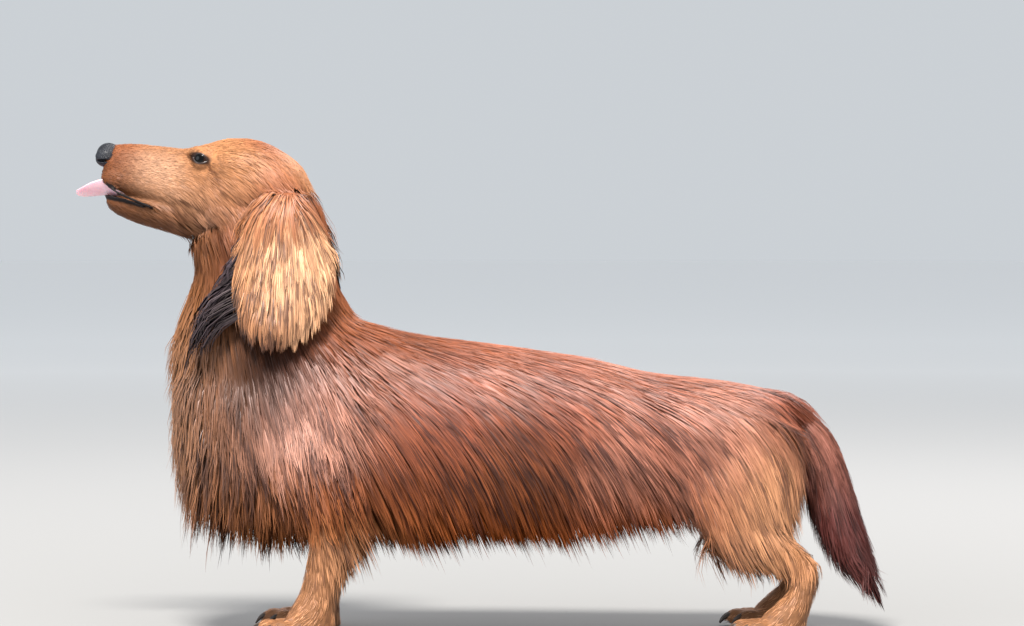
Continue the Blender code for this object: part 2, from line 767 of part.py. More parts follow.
def make_body(shop, model):
    """Trunk, neck, tail and legs, modelled whole and divided by thin cuts."""
    masses = body_masses(shop) + head_masses(shop)
    whole = fuse("torso", masses, BODY_VOXEL, BODY_TRIANGLES, model)
    floor = prism("floor", ((-600, 0), (600, 0), (600, -90), (-600, -90)), body_point,
                  -300, 300, shop)
    boolean(whole, "DIFFERENCE", [floor])
    remove(floor)
    largest_shell(whole)
    head = prism("region", HEAD_OUTLINE, body_point, -150, 150, shop)
    remove(carve(whole, "spare_head", head, shop))
    neck_region = prism("region", NECK_OUTLINE, body_point, -150, 150, shop)
    nodes = {"neck": carve(whole, "neck", neck_region, model)}
    tail_region = prism("region", TAIL_OUTLINE, body_point, -TAIL_HALF_WIDTH,
                        TAIL_HALF_WIDTH, shop)
    nodes["tail"] = carve(whole, "tail", tail_region, model)
    for kind, outline in (("foreleg", FORELEG_OUTLINE), ("hindleg", HINDLEG_OUTLINE)):
        for side, hand in (("left", -1), ("right", 1)):
            low, high = sorted((hand * LEG_INNER_FACE, hand * LEG_OUTER_FACE))
            region = prism("region", outline, body_point, low, high, shop)
            name = f"{kind}_{side}"
            nodes[name] = carve(whole, name, region, model)
    nodes["torso"] = largest_shell(whole)
    return nodes


def surface_of(objects):
    """One search tree over the faces of several meshes."""
    bm = bmesh.new()
    for obj in objects:
        bm.from_mesh(obj.data)
    tree = BVHTree.FromBMesh(bm)
    bm.free()
    return tree


class Skin:
    """The surface of several meshes, with a slope that turns smoothly from face to face."""

    def __init__(self, objects):
        bm = bmesh.new()
        for obj in objects:
            bm.from_mesh(obj.data)
        bmesh.ops.triangulate(bm, faces=bm.faces)
        bm.normal_update()
        self.tree = BVHTree.FromBMesh(bm)
        self.corners = [[v.co.copy() for v in f.verts] for f in bm.faces]
        self.normals = [[v.normal.copy() for v in f.verts] for f in bm.faces]
        bm.free()

    def slope(self, place, face):
        shares = poly_3d_calc(self.corners[face], place)
        parts = zip(self.normals[face], shares)
        return sum((normal * share for normal, share in parts), Vector()).normalized()

    def root(self, row, hand):
        """Where a ray from outside meets the skin, on its way to the point inside."""
        x, y, z, facing = row[:4]
        turn = math.radians(facing)
        inside = body_point(x, hand * y, z)
        out = Vector((-math.sin(turn), hand * math.cos(turn), 0))
        place, _, face, _ = self.tree.ray_cast(inside + out * ROOT_RAY, -out)
        return place, self.slope(place, face)

    def below(self, at):
        """The nearest place on the skin, its slope, and the height of the point over it."""
        place, normal, face, distance = self.tree.find_nearest(at)
        slope = self.slope(place, face)
        return place, slope, distance if (at - place).dot(slope) > 0 else -distance


def lay_lock(skin, root, slope, heading, length, lifts, cling, curl):
    """Points and upward directions along a lock that starts under the skin."""
    points = [root + slope * lifts[0] * HEIGHT_UNIT]
    ups = [slope]
    at, up = root, slope
    for i in range(1, LOCK_STEPS + 1):
        heading = heading + up.cross(heading) * curl / LOCK_STEPS
        heading = heading.normalized().lerp(Vector((0, 0, -1)), LOCK_FALL).normalized()
        along = (heading - up * heading.dot(up) * cling).normalized()
        at = at + along * length / LOCK_STEPS
        ground, slope, height = skin.below(at)
        wanted = np.interp(i / LOCK_STEPS, LIFT_STATIONS, lifts) * HEIGHT_UNIT
        if height < wanted:
            at = ground + slope * wanted
        else:
            at = at + slope * (wanted - height) * cling
        up = up.lerp(slope, 0.5).normalized()
        points.append(at)
        ups.append(up)
    return points, ups


def settled(place):
    """A place rounded to the micrometre, so that each run gives the same solid."""
    return [round(part, 6) for part in place]


def lock(points, ups, width, thick, home):
    """A flat closed blade with a point, of four-sided sections."""
    bm = bmesh.new()
    rings = []
    for share, wide in zip(RING_STATIONS, RING_WIDTHS):
        i = round(share * LOCK_STEPS)
        along = (points[min(i + 1, LOCK_STEPS)] - points[max(i - 1, 0)]).normalized()
        side = along.cross(ups[i]).normalized() * width * wide / 2
        up = side.cross(along).normalized() * thick * (0.4 + 0.6 * wide) / 2
        corners = (points[i] + side, points[i] + up, points[i] - side, points[i] - up)
        rings.append([bm.verts.new(settled(p)) for p in corners])
    tip = bm.verts.new(settled(points[-1]))
    for low, high in zip(rings, rings[1:]):
        for i in range(4):
            j = (i + 1) % 4
            bm.faces.new((low[i], low[j], high[j], high[i]))
    for i in range(4):
        bm.faces.new((rings[-1][i], rings[-1][(i + 1) % 4], tip))
    bm.faces.new(reversed(rings[0]))
    bmesh.ops.triangulate(bm, faces=bm.faces)
    return object_from(bm, "lock", home)


def tier_locks(tier, hand, own, skin, draw, home):
    """The locks of one tier on one side of the body."""
    made = []
    rows = smooth_rows(tier["rows"], LOCK_STEPS)
    for number in range(tier["count"]):
        share = (number + 0.5 + draw.uniform(-0.1, 0.1)) / tier["count"]
        row = rows[round(share * (len(rows) - 1))]
        root, slope = own.root(row, hand)
        lie = math.radians(row[4] + draw.uniform(-6, 6))
        heading = Vector((math.cos(lie), 0, math.sin(lie)))
        length = row[5] * HEIGHT_UNIT * draw.uniform(0.88, 1.1)
        width = row[6] * HEIGHT_UNIT * draw.uniform(0.9, 1.1)
        over = (number + (hand > 0)) % tier.get("levels", 2) * LOCK_OVERLAP
        lifts = [lift + over * (i > 0) for i, lift in enumerate(tier["lifts"])]
        points, ups = lay_lock(skin, root, slope, heading, length, lifts, tier["cling"],
                               draw.uniform(-LOCK_CURL, LOCK_CURL))
        made.append(lock(points, ups, width, tier["thick"] * HEIGHT_UNIT, home))
    return made


def add_coat(nodes, shop):
    """Grows the tiers on their nodes, each node fused in one go."""
    draw = random.Random(LOCK_SEED)
    flesh = [obj for name, obj in nodes.items() if not name.startswith("ear")]
    skin = Skin(flesh)
    for name, obj in nodes.items():
        own = Skin([obj])
        locks = []
        for tier in TIERS:
            kind, _, side = name.partition("_")
            if tier["node"] != kind:
                continue
            hands = {"left": (-1,), "right": (1,), "": (-1, 1)}[side]
            for hand in hands:
                over = own if kind == "ear" else skin
                locks += tier_locks(tier, hand, own, over, draw, shop)
        if locks:
            boolean(obj, "UNION", locks)
            for piece in locks:
                remove(piece)
            largest_shell(obj)


def part_coats(nodes, bare, shop):
    """Cuts each node's locks clear of the nodes that come after it."""
    for number, name in enumerate(COAT_ORDER):
        others = [nodes[other] for other in nodes if other not in COAT_ORDER[:number + 1]]
        keep_clear(nodes[name], others + bare, shop)


def centre_on_floor(model):
    """Moves the model so that the middle of its box stands over the origin."""
    corners = np.array([v.co for obj in model.objects for v in obj.data.vertices])
    middle = (corners.min(axis=0) + corners.max(axis=0)) / 2
    shift = Vector((-middle[0], -middle[1], 0))
    for obj in model.objects:
        for vertex in obj.data.vertices:
            vertex.co += shift


def main():
    clear_scene()
    model = collection("dachshund")
    shop = collection("workshop")
    shop.hide_render = True
    nodes = make_body(shop, model)
    head, jaw = make_head(shop, model)
    for hand in (-1, 1):
        make_eye(hand, head, shop, model)
    largest_shell(head)
    make_nose(head, jaw, shop, model)
    make_tongue(head, jaw, shop, model)
    for hand in (-1, 1):
        side = "left" if hand < 0 else "right"
        ear = make_ear(hand, model)
        nodes[f"ear_{side}"] = keep_clear(ear, [head, nodes["neck"]], shop, CARVE_GAP)
    add_coat(nodes, shop)
    part_coats(nodes, [head, jaw], shop)
    for hand in (-1, 1):
        side = "left" if hand < 0 else "right"
        make_claws("front", hand, nodes[f"foreleg_{side}"], shop, model)
        make_claws("hind", hand, nodes[f"hindleg_{side}"], shop, model)
    centre_on_floor(model)
    for obj in model.objects:
        paint(obj)
    bpy.data.collections.remove(shop)


main()
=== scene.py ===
import math

import bmesh
import bpy
import numpy as np
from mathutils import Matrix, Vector
from mathutils.bvhtree import BVHTree
from mathutils.kdtree import KDTree


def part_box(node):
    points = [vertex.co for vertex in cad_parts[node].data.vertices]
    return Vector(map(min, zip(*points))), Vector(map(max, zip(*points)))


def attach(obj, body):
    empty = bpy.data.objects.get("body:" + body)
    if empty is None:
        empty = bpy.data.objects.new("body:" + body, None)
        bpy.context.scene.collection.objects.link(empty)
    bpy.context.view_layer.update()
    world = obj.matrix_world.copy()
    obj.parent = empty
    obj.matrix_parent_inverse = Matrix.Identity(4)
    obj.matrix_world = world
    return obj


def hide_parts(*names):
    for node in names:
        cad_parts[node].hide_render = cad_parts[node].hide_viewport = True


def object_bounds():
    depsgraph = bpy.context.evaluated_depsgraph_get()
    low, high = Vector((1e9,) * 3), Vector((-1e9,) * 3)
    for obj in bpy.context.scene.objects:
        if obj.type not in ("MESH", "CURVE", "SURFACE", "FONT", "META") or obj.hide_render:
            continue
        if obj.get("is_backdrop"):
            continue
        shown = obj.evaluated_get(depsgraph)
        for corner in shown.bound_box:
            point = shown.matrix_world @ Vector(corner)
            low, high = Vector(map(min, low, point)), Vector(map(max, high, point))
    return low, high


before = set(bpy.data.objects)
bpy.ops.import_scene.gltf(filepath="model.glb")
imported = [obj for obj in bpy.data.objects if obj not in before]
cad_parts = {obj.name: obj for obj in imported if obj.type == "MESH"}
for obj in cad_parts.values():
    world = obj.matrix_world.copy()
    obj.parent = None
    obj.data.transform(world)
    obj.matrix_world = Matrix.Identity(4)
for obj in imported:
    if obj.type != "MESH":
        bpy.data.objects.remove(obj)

solid_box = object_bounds()

# Where the dog stands. All tables are in millimetres, x towards the tail and z up from the
# floor, with the nose at -X. The eyes of the frame show where that plan lies in the frame.
MILLIMETRE = 0.001
POLL = Vector((-150, 0, 360))  # where the skull meets the neck
EYE = (-77, 18.4, 26.3)  # from the poll
eye_boxes = [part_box("eye_left"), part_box("eye_right")]
eye_middle = sum((low + high for low, high in eye_boxes), Vector()) / 4
shift = eye_middle - (POLL + Vector((EYE[0], 0, EYE[2]))) * MILLIMETRE


def body_place(x, y, z):
    return Vector((x, y, z)) * MILLIMETRE + shift


def head_place(x, y, z):
    return body_place(POLL.x + x, y, POLL.z + z)


# The camera stands level with the dog's ear, off its left side. A long lens from three and a
# half metres keeps the photograph's flat perspective, and its view is as wide as the picture.
CAMERA_DISTANCE = 3.5
CAMERA_HEIGHT = 0.34
AIM_ALONG = 0.0242
AIM_HEIGHT = 0.2616
FRAME_WIDTH = 0.8397  # what the picture spans at the dog
SENSOR = 36
camera_data = bpy.data.cameras.new("camera")
camera_data.sensor_width = SENSOR
camera_data.lens = SENSOR * CAMERA_DISTANCE / FRAME_WIDTH
camera_data.clip_end = 60
camera = bpy.data.objects.new("camera", camera_data)
camera.location = (AIM_ALONG + shift.x, -CAMERA_DISTANCE, CAMERA_HEIGHT)
aim = Vector((AIM_ALONG + shift.x, 0, AIM_HEIGHT))
camera.rotation_euler = (aim - camera.location).to_track_quat("-Z", "Y").to_euler()
bpy.context.scene.collection.objects.link(camera)
bpy.context.scene.camera = camera
bpy.context.scene.view_settings.view_transform = "Standard"
bpy.context.scene.view_settings.exposure = -0.35


# The studio: a wide pale floor, a bright even surround, and large soft lights. The key light
# is high on the camera's side and a second one behind the tail gives the back its gleam.
FLOOR_REACH = 30
FLOOR_FADE = 0.12  # one over the metres from the middle at which the floor is palest
FLOOR_TONES = ((0.0, 0.98), (0.28, 0.92), (0.64, 0.58), (1.0, 0.27))


class Finish:
    """A node material that reads places on the object, with short ways to add nodes."""

    def __init__(self, name, roughness, **constants):
        self.material = bpy.data.materials.new(name)
        self.material.use_nodes = True
        self.nodes = self.material.node_tree.nodes
        self.links = self.material.node_tree.links
        self.shader = self.nodes["Principled BSDF"]
        self.shader.inputs["Roughness"].default_value = roughness
        for key, value in constants.items():
            self.shader.inputs[key.replace("_", " ")].default_value = value
        self.place = self.nodes.new("ShaderNodeTexCoord").outputs["Object"]

    def node(self, kind, **settings):
        made = self.nodes.new(kind)
        for key, value in settings.items():
            setattr(made, key, value)
        return made

    def join(self, source, target):
        self.links.new(source, target)

    def noise(self, scale, detail=2.0, stretch=(1, 1, 1)):
        mapping = self.node("ShaderNodeMapping")
        mapping.inputs["Scale"].default_value = stretch
        self.join(self.place, mapping.inputs["Vector"])
        made = self.node("ShaderNodeTexNoise")
        made.inputs["Scale"].default_value = scale
        made.inputs["Detail"].default_value = detail
        self.join(mapping.outputs["Vector"], made.inputs["Vector"])
        return made.outputs["Fac"]

    def attribute(self, name):
        return self.node("ShaderNodeAttribute", attribute_name=name)

    def ramp(self, value, stops):
        made = self.node("ShaderNodeValToRGB")
        elements = made.color_ramp.elements
        while len(elements) < len(stops):
            elements.new(0.5)
        for element, (place, colour) in zip(elements, stops):
            element.position = place
            element.color = (*colour, 1)
        self.join(value, made.inputs["Fac"])
        return made.outputs["Color"]

    def multiply(self, first, second):
        made = self.node("ShaderNodeMix", data_type="RGBA", blend_type="MULTIPLY")
        made.inputs["Factor"].default_value = 1
        self.join(first, made.inputs[6])
        self.join(second, made.inputs[7])
        return made.outputs[2]

    def bump(self, height, depth, strength=1.0):
        made = self.node("ShaderNodeBump")
        made.inputs["Strength"].default_value = strength
        made.inputs["Distance"].default_value = depth
        self.join(height, made.inputs["Height"])
        self.join(made.outputs["Normal"], self.shader.inputs["Normal"])

    def colour(self, source):
        self.join(source, self.shader.inputs["Base Color"])

    def put_on(self, piece):
        piece.data.materials.clear()
        piece.data.materials.append(self.material)


floor_mesh = bmesh.new()
bmesh.ops.create_circle(floor_mesh, cap_ends=True, segments=64, radius=FLOOR_REACH)
floor_data = bpy.data.meshes.new("floor")
floor_mesh.to_mesh(floor_data)
floor_mesh.free()
floor = bpy.data.objects.new("floor", floor_data)
bpy.context.scene.collection.objects.link(floor)
floor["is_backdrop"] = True
pale = Finish("pale_floor", 0.9, Specular_IOR_Level=0.1)
spread = pale.node("ShaderNodeMapping")
spread.inputs["Scale"].default_value = (FLOOR_FADE, FLOOR_FADE, FLOOR_FADE)
pale.join(pale.place, spread.inputs["Vector"])
fade = pale.node("ShaderNodeTexGradient", gradient_type="SPHERICAL")
pale.join(spread.outputs["Vector"], fade.inputs["Vector"])
# Paler with distance, so that the floor looks even though the lights fade there.
pale.colour(pale.ramp(
    fade.outputs["Fac"], [(place, (tone, tone, tone)) for place, tone in FLOOR_TONES]
))
pale.put_on(floor)

surround = bpy.data.worlds.new("surround")
surround.use_nodes = True
surround.node_tree.nodes["Background"].inputs["Color"].default_value = (0.90, 0.95, 1.0, 1)
surround.node_tree.nodes["Background"].inputs["Strength"].default_value = 0.85
bpy.context.scene.world = surround


def studio_light(name, place, size, power, colour):
    data = bpy.data.lights.new(name, "AREA")
    data.shape = "DISK"
    data.size = size
    data.energy = power
    data.color = colour
    light = bpy.data.objects.new(name, data)
    light.location = place
    towards = Vector((0, 0, 0.2)) - light.location
    light.rotation_euler = towards.to_track_quat("-Z", "Y").to_euler()
    bpy.context.scene.collection.objects.link(light)


studio_light("key", (-0.5, -2.0, 3.2), 1.0, 350, (1.0, 0.96, 0.90))
studio_light("gleam", (0.9, 1.4, 2.8), 1.4, 70, (1.0, 0.95, 0.92))
studio_light("front_fill", (-2.6, -1.2, 1.2), 1.6, 20, (0.95, 0.97, 1.0))


# The skin. A dachshund's trunk, neck, head, legs, ears and tail are one hide with no seam, so
# the masses of muscle are lofted from stations, melted together and let down by the coat's
# depth. Rows of trunk stations give bottom x and z, top x and z, half width, and where along
# the height the ring is widest.
TRUNK = (
    (-248, 160, -247, 208, 16, 0.50), (-238, 124, -231, 242, 39, 0.48),
    (-205, 102, -196, 258, 54, 0.46), (-165, 90, -158, 266, 62, 0.46),
    (-120, 87, -116, 261, 66, 0.46), (-80, 86, -78, 250.5, 67, 0.48),
    (-30, 87, -30, 242, 67, 0.48), (30, 90, 30, 234.5, 65, 0.48),
    (90, 97, 90, 225, 60, 0.50), (140, 104, 140, 213.5, 59, 0.50),
    (188, 108, 190, 208, 60, 0.48), (222, 114, 226, 201, 55, 0.48),
    (244, 120, 250, 186, 36, 0.52), (254, 130, 258, 166, 16, 0.52),
)
NECK = (
    (-205, 165, -75, 215, 50, 0.50), (-243, 205, -92, 246, 54, 0.50),
    (-250, 238, -108, 265, 49, 0.50), (-243, 266, -119, 290, 44, 0.50),
    (-237, 296, -126, 322, 41, 0.50), (-236.5, 320, -133, 350, 40, 0.50),
    (-226, 335, -146, 366, 34, 0.50),
)
NECK_CORE = (
    (-215, 290, -150, 300, 24, 0.50), (-214, 322, -152, 345, 26, 0.50),
    (-205, 345, -160, 372, 24, 0.50),
)
SKULL = (
    (-163, 13, -157, 33, 8.5, 0.45), (-159.5, 6, -154, 38.5, 12.5, 0.38),
    (-151, 0.5, -147, 40, 15, 0.34), (-137, -5, -134, 40.5, 17, 0.32),
    (-114, -14, -112, 38.5, 19, 0.32), (-94, -22, -93, 36.8, 23, 0.36),
    (-78, -27, -76, 40.5, 29, 0.42), (-57, -30, -55, 45.5, 35, 0.48),
    (-34, -32, -30, 42.5, 37.5, 0.52), (-14, -30, -5, 29, 34, 0.52), (-2, -22, 8, 10, 25, 0.52),
)
JAW = (
    (-157.5, -11, -159, -4, 8, 0.6), (-150, -18, -151, -2, 12, 0.6),
    (-134, -25, -135, 0, 14.5, 0.6), (-112, -30.5, -114, 0, 17.5, 0.6),
    (-92, -34, -94, 0, 21, 0.6), (-72, -35.5, -72, 0, 26, 0.6), (-52, -32, -52, 0, 28, 0.6),
)
# Swellings of the head: place from the poll, then half sizes.
HEAD_FORMS = {
    "brow": ((-79, 16.5, 33), (13, 7, 5)),
    "temple": ((-48, 21, 20), (28, 14, 18)),
    "cheek": ((-54, 23, -12), (26, 11, 17)),
    "lip_pad": ((-150, 8.5, 12), (12.5, 8, 9.5)),
    "chin": ((-148, 6, -7), (9, 6, 7)),
}
# Limb stations: x, y and z of the centre, then half size fore and aft, and across.
FORELEG = (
    (-150, 40, 175, 46, 22), (-138, 46, 140, 38, 24), (-122, 49, 108, 27, 20),
    (-122, 49, 80, 19, 16.5), (-128, 48, 55, 15.5, 14.5), (-133, 48, 34, 15.5, 15),
    (-137, 49, 18, 19, 17.5), (-140, 49, 6, 23, 19), (-141, 49, -6, 22, 18),
)
THIGH = (
    (222, 27, 178, 36, 20), (214, 34, 150, 48, 25), (206, 39, 122, 49, 25),
    (200, 43, 98, 37, 21), (192, 46, 82, 22, 17),
)
SHANK = (
    (190, 46, 96, 24, 18), (214, 47, 84, 22, 16), (238, 47, 70, 15.5, 13),
    (256, 47, 60, 11.5, 11), (264, 47, 52, 10.5, 10.5),
)
PASTERN = (
    (262, 47, 62, 10.5, 10), (262, 47, 50, 12, 11), (258, 47, 32, 12, 12),
    (250, 47.5, 18, 16, 15), (244, 48, 6, 21, 16.5), (243, 48, -6, 20, 16),
)
TAIL = (
    (222, 0, 186, 16, 16), (244, 0, 183, 15, 15), (263, 0, 168, 13, 13),
    (277, 0, 145, 11.5, 11.5), (287, 0, 118, 10, 10), (296, 0, 92, 8, 8), (306, 0, 68, 6, 6),
    (316, 0, 48, 4, 4),
)
# Ear stations from the poll: centre, half width, half thickness, and how far its edges cup in.
EAR = (
    (-12, 29, 4, 13, 4.5, 1), (-12, 37, 0, 15, 4, 2), (-12, 44, -8, 18, 3.4, 4),
    (-12, 49, -22, 25, 2.8, 6), (-11, 51.5, -44, 33, 2.3, 8), (-12, 55.5, -68, 36, 2.1, 8),
    (-15, 59.5, -90, 31, 1.9, 6), (-18, 62.5, -106, 19, 1.7, 3), (-19, 64, -113, 8, 1.3, 1),
)
# Paws: heel x and y, how far the longest toes reach forward, and how far they spread.
PAWS = {"front": (-146, 49, 27, 21), "hind": (238, 48, 25, 18)}
TOE_SHARES = ((-0.72, 0.62), (-0.26, 1.0), (0.26, 1.0), (0.72, 0.62))
TOE_SIZE = (11.5, 6.2, 8.6)
TOE_HEIGHT = 7
RING_SIDES = 32
STATION_STEPS = 4
BODY_VOXEL = 0.0024  # metres, as are all voxels
HEAD_VOXEL = 0.0010
FACES_KEPT = 0.58  # of a melted form's faces


def smooth_rows(rows, steps):
    """Stations read along a Catmull-Rom curve through them."""
    rows = np.array(rows, float)
    ends = np.vstack([2 * rows[0] - rows[1], rows, 2 * rows[-1] - rows[-2]])
    read = []
    for a, b, c, d in zip(ends, ends[1:], ends[2:], ends[3:]):
        for t in np.linspace(0, 1, steps, endpoint=False):
            bend = (2 * a - 5 * b + 4 * c - d) * t**2 + (3 * b - a - 3 * c + d) * t**3
            read.append(0.5 * (2 * b + (c - a) * t + bend))
    return read + [rows[-1]]


def loft(rings):
    """A closed tube bridged from ring to ring."""
    bm = bmesh.new()
    loops = []
    for number, ring in enumerate(rings):
        ends = number in (0, len(rings) - 1)
        verts = bmesh.ops.create_circle(bm, cap_ends=ends, segments=len(ring), radius=1)["verts"]
        for vert, place in zip(verts, ring):
            vert.co = place
        loops.append({edge for vert in verts for edge in vert.link_edges})
    for low, high in zip(loops, loops[1:]):
        bmesh.ops.bridge_loops(bm, edges=list(low | high))
    bmesh.ops.recalc_face_normals(bm, faces=bm.faces)
    return bm


def turns(sides):
    return [2 * math.pi * i / sides for i in range(sides)]


def egg_tube(rows, place):
    """A trunk, neck or muzzle: egg-shaped rings from a bottom to a top point."""
    rings = []
    for bottom_x, bottom_z, top_x, top_z, half_width, widest in smooth_rows(rows, STATION_STEPS):
        bottom, top = place(bottom_x, 0, bottom_z), place(top_x, 0, top_z)
        middle = bottom.lerp(top, widest)
        side = Vector((0, half_width * MILLIMETRE, 0))
        rings.append([
            middle + side * math.cos(turn)
            + ((top if math.sin(turn) > 0 else bottom) - middle) * abs(math.sin(turn))
            for turn in turns(RING_SIDES)
        ])
    return loft(rings)


def limb(rows, hand):
    """A leg or tail: oval rings along a path. hand is 1 at the dog's right."""
    rows = smooth_rows(rows, STATION_STEPS)
    centres = [body_place(row[0], hand * row[1], row[2]) for row in rows]
    rings = []
    for i, row in enumerate(rows):
        along = centres[min(i + 1, len(rows) - 1)] - centres[max(i - 1, 0)]
        fore = along.cross(Vector((0, 1, 0))).normalized() * row[3] * MILLIMETRE
        across = fore.cross(along).normalized() * row[4] * MILLIMETRE
        rings.append([
            centres[i] + fore * math.cos(turn) + across * math.sin(turn)
            for turn in turns(RING_SIDES)
        ])
    return loft(rings)


def ball(centre, size, segments=32):
    """An egg-shaped mass, its faces sorted so that every run numbers them alike."""
    bm = bmesh.new()
    bmesh.ops.create_uvsphere(bm, u_segments=segments, v_segments=segments // 2, radius=1)
    slant = Vector((1, math.sqrt(2), math.sqrt(3)))
    bm.verts.sort(key=lambda vert: vert.co.dot(slant))
    bm.faces.sort(key=lambda face: face.calc_center_median().dot(slant))
    bmesh.ops.scale(bm, vec=Vector(size) * MILLIMETRE, verts=bm.verts)
    bmesh.ops.translate(bm, vec=centre, verts=bm.verts)
    return bm


def slab(outline, place, half_width):
    """A flat outline of the plane between left and right, drawn out to both sides."""
    bm = bmesh.new()
    face = bm.faces.new([bm.verts.new(place(x, -half_width, z)) for x, z in outline])
    drawn = bmesh.ops.extrude_face_region(bm, geom=[face])["geom"]
    moved = [part for part in drawn if isinstance(part, bmesh.types.BMVert)]
    bmesh.ops.translate(bm, vec=(0, 2 * half_width * MILLIMETRE, 0), verts=moved)
    bmesh.ops.recalc_face_normals(bm, faces=bm.faces)
    return bm


def piece_from(name, parts):
    """One object from one or more bmeshes, which it uses up."""
    data = bpy.data.meshes.new(name)
    joined = bmesh.new()
    for part in parts:
        part.to_mesh(data)
        part.free()
        joined.from_mesh(data)
    joined.to_mesh(data)
    joined.free()
    piece = bpy.data.objects.new(name, data)
    bpy.context.scene.collection.objects.link(piece)
    return piece


def settle(piece):
    """Applies a piece's modifiers."""
    graph = bpy.context.evaluated_depsgraph_get()
    made = bpy.data.meshes.new_from_object(piece.evaluated_get(graph))
    piece.modifiers.clear()
    piece.data = made


def melt(piece, voxel, passes):
    """Fuses overlapping forms and softens the creases between them."""
    remesh = piece.modifiers.new("fuse", "REMESH")
    remesh.mode = "VOXEL"
    remesh.voxel_size = voxel
    relax = piece.modifiers.new("relax", "SMOOTH")
    relax.factor = 0.5
    relax.iterations = passes
    thin = piece.modifiers.new("thin", "DECIMATE")
    thin.ratio = FACES_KEPT
    settle(piece)


def combine(piece, operation, others):
    """Joins or cuts a closed piece by others, which go."""
    tools = bpy.data.collections.new("tools")
    bpy.context.scene.collection.children.link(tools)
    for other in others:
        tools.objects.link(other)
    change = piece.modifiers.new(operation, "BOOLEAN")
    change.operation = operation
    change.solver = "MANIFOLD"
    change.operand_type = "COLLECTION"
    change.collection = tools
    settle(piece)
    for other in others:
        bpy.data.objects.remove(other)
    bpy.data.collections.remove(tools)


def toe_places(which, hand):
    heel_x, heel_y, reach, spread = PAWS[which]
    return [
        body_place(heel_x - reach * far, hand * (heel_y + spread * out), TOE_HEIGHT)
        for out, far in TOE_SHARES
    ]


def ear_flap(hand):
    rings = []
    for x, y, z, half_width, half_thick, cup in smooth_rows(EAR, STATION_STEPS):
        ring = []
        for turn in turns(RING_SIDES):
            across = math.cos(turn)
            out = y - cup * across**2 + half_thick * math.sin(turn)
            ring.append(head_place(x + half_width * across, hand * out, z))
        rings.append(ring)
    return loft(rings)


body_forms = [egg_tube(TRUNK, body_place), egg_tube(NECK, body_place), limb(TAIL, 1)]
head_forms = [
    egg_tube(SKULL, head_place), egg_tube(JAW, head_place), egg_tube(NECK_CORE, body_place),
]
for hand in (-1, 1):
    body_forms += [limb(rows, hand) for rows in (FORELEG, THIGH, SHANK, PASTERN)]
    body_forms += [ball(at, TOE_SIZE) for which in PAWS for at in toe_places(which, hand)]
    head_forms.append(ear_flap(hand))
    for (x, y, z), size in HEAD_FORMS.values():
        head_forms.append(ball(head_place(x, hand * y, z), size))

# The lips are soft black rolls that run back along the mouth on both jaws.
LIP_LINES = (
    ((-161.5, 5, 11.5), (-157, 11, 7.2), (-150, 14.8, 1.4), (-141.6, 16.6, -2.6),
     (-133.8, 17.4, -5.9), (-126, 18, -9.3), (-119.5, 18.8, -12.6)),
    ((-159, 3.5, -2.2), (-155.5, 9, -2.9), (-149, 12.8, -4.3), (-141.6, 14.9, -6.1),
     (-133.8, 16.5, -8.7), (-126, 17.8, -11.5)),
)
LIP_RADIUS = 1.8
LIP_SIDES = 12


def roll(points, radii):
    """A round cord of flesh through places in metres, thick as radii say, in millimetres."""
    rings = []
    for i, point in enumerate(points):
        along = (points[min(i + 1, len(points) - 1)] - points[max(i - 1, 0)]).normalized()
        first = along.orthogonal().normalized()
        if rings:
            first = (first_before - along * first_before.dot(along)).normalized()
        first_before = first
        second = along.cross(first)
        rings.append([
            point + (first * math.cos(turn) + second * math.sin(turn)) * radii[i] * MILLIMETRE
            for turn in turns(LIP_SIDES)
        ])
    return loft(rings)


for line in LIP_LINES:
    for hand in (-1, 1):
        points = [head_place(x, hand * y, z) for x, y, z in smooth_rows(line, STATION_STEPS)]
        head_forms.append(roll(points, [LIP_RADIUS] * len(points)))

# Eyeballs sit deep under a lid of their own. The opening is an almond whose outer corner is
# lower, half closed as the dog looks up into the light.
EYE_RADIUS = 9.3
EYE_AXIS = (-0.36, 0.92, 0.17)
EYE_ROLL = 0.26
LID_THICKNESS = 1.3
LID_OPENING = (7.2, 4.2)  # half length and half height
LID_STEPS = 9
# A line of painted shade runs down the fold below each eye's outer corner.
EYE_FOLD_SHADE = ((-72.5, 22.5), (-68, 5))  # x and z of the fold below the outer corner


def eye_frame(hand):
    """Centre of an eyeball, with its outward, long and upright directions."""
    centre = head_place(EYE[0], hand * EYE[1], EYE[2])
    out = Vector((EYE_AXIS[0], hand * EYE_AXIS[1], EYE_AXIS[2])).normalized()
    level = Vector((0, 0, 1)).cross(out).normalized()
    if level.x < 0:
        level = -level
    up = level.cross(out)
    if up.z < 0:
        up = -up
    long = level * math.cos(EYE_ROLL) - up * math.sin(EYE_ROLL)
    high = up * math.cos(EYE_ROLL) + level * math.sin(EYE_ROLL)
    return centre, out.normalized(), long, high


def lid_rim():
    """Points round the almond between the lids, along its long and upright directions."""
    half_length, half_height = LID_OPENING
    rim = []
    for side in (1, -1):
        for i in range(LID_STEPS):
            t = i / LID_STEPS * 2 - 1
            rim.append((t * side * half_length, side * half_height * (1 - t * t)))
    return rim


for hand in (-1, 1):
    head_forms.append(ball(eye_frame(hand)[0], (EYE_RADIUS + LID_THICKNESS,) * 3))

skin = piece_from("skin", body_forms)
melt(skin, BODY_VOXEL, 8)
head_skin = piece_from("head_skin", head_forms)
melt(head_skin, HEAD_VOXEL, 10)

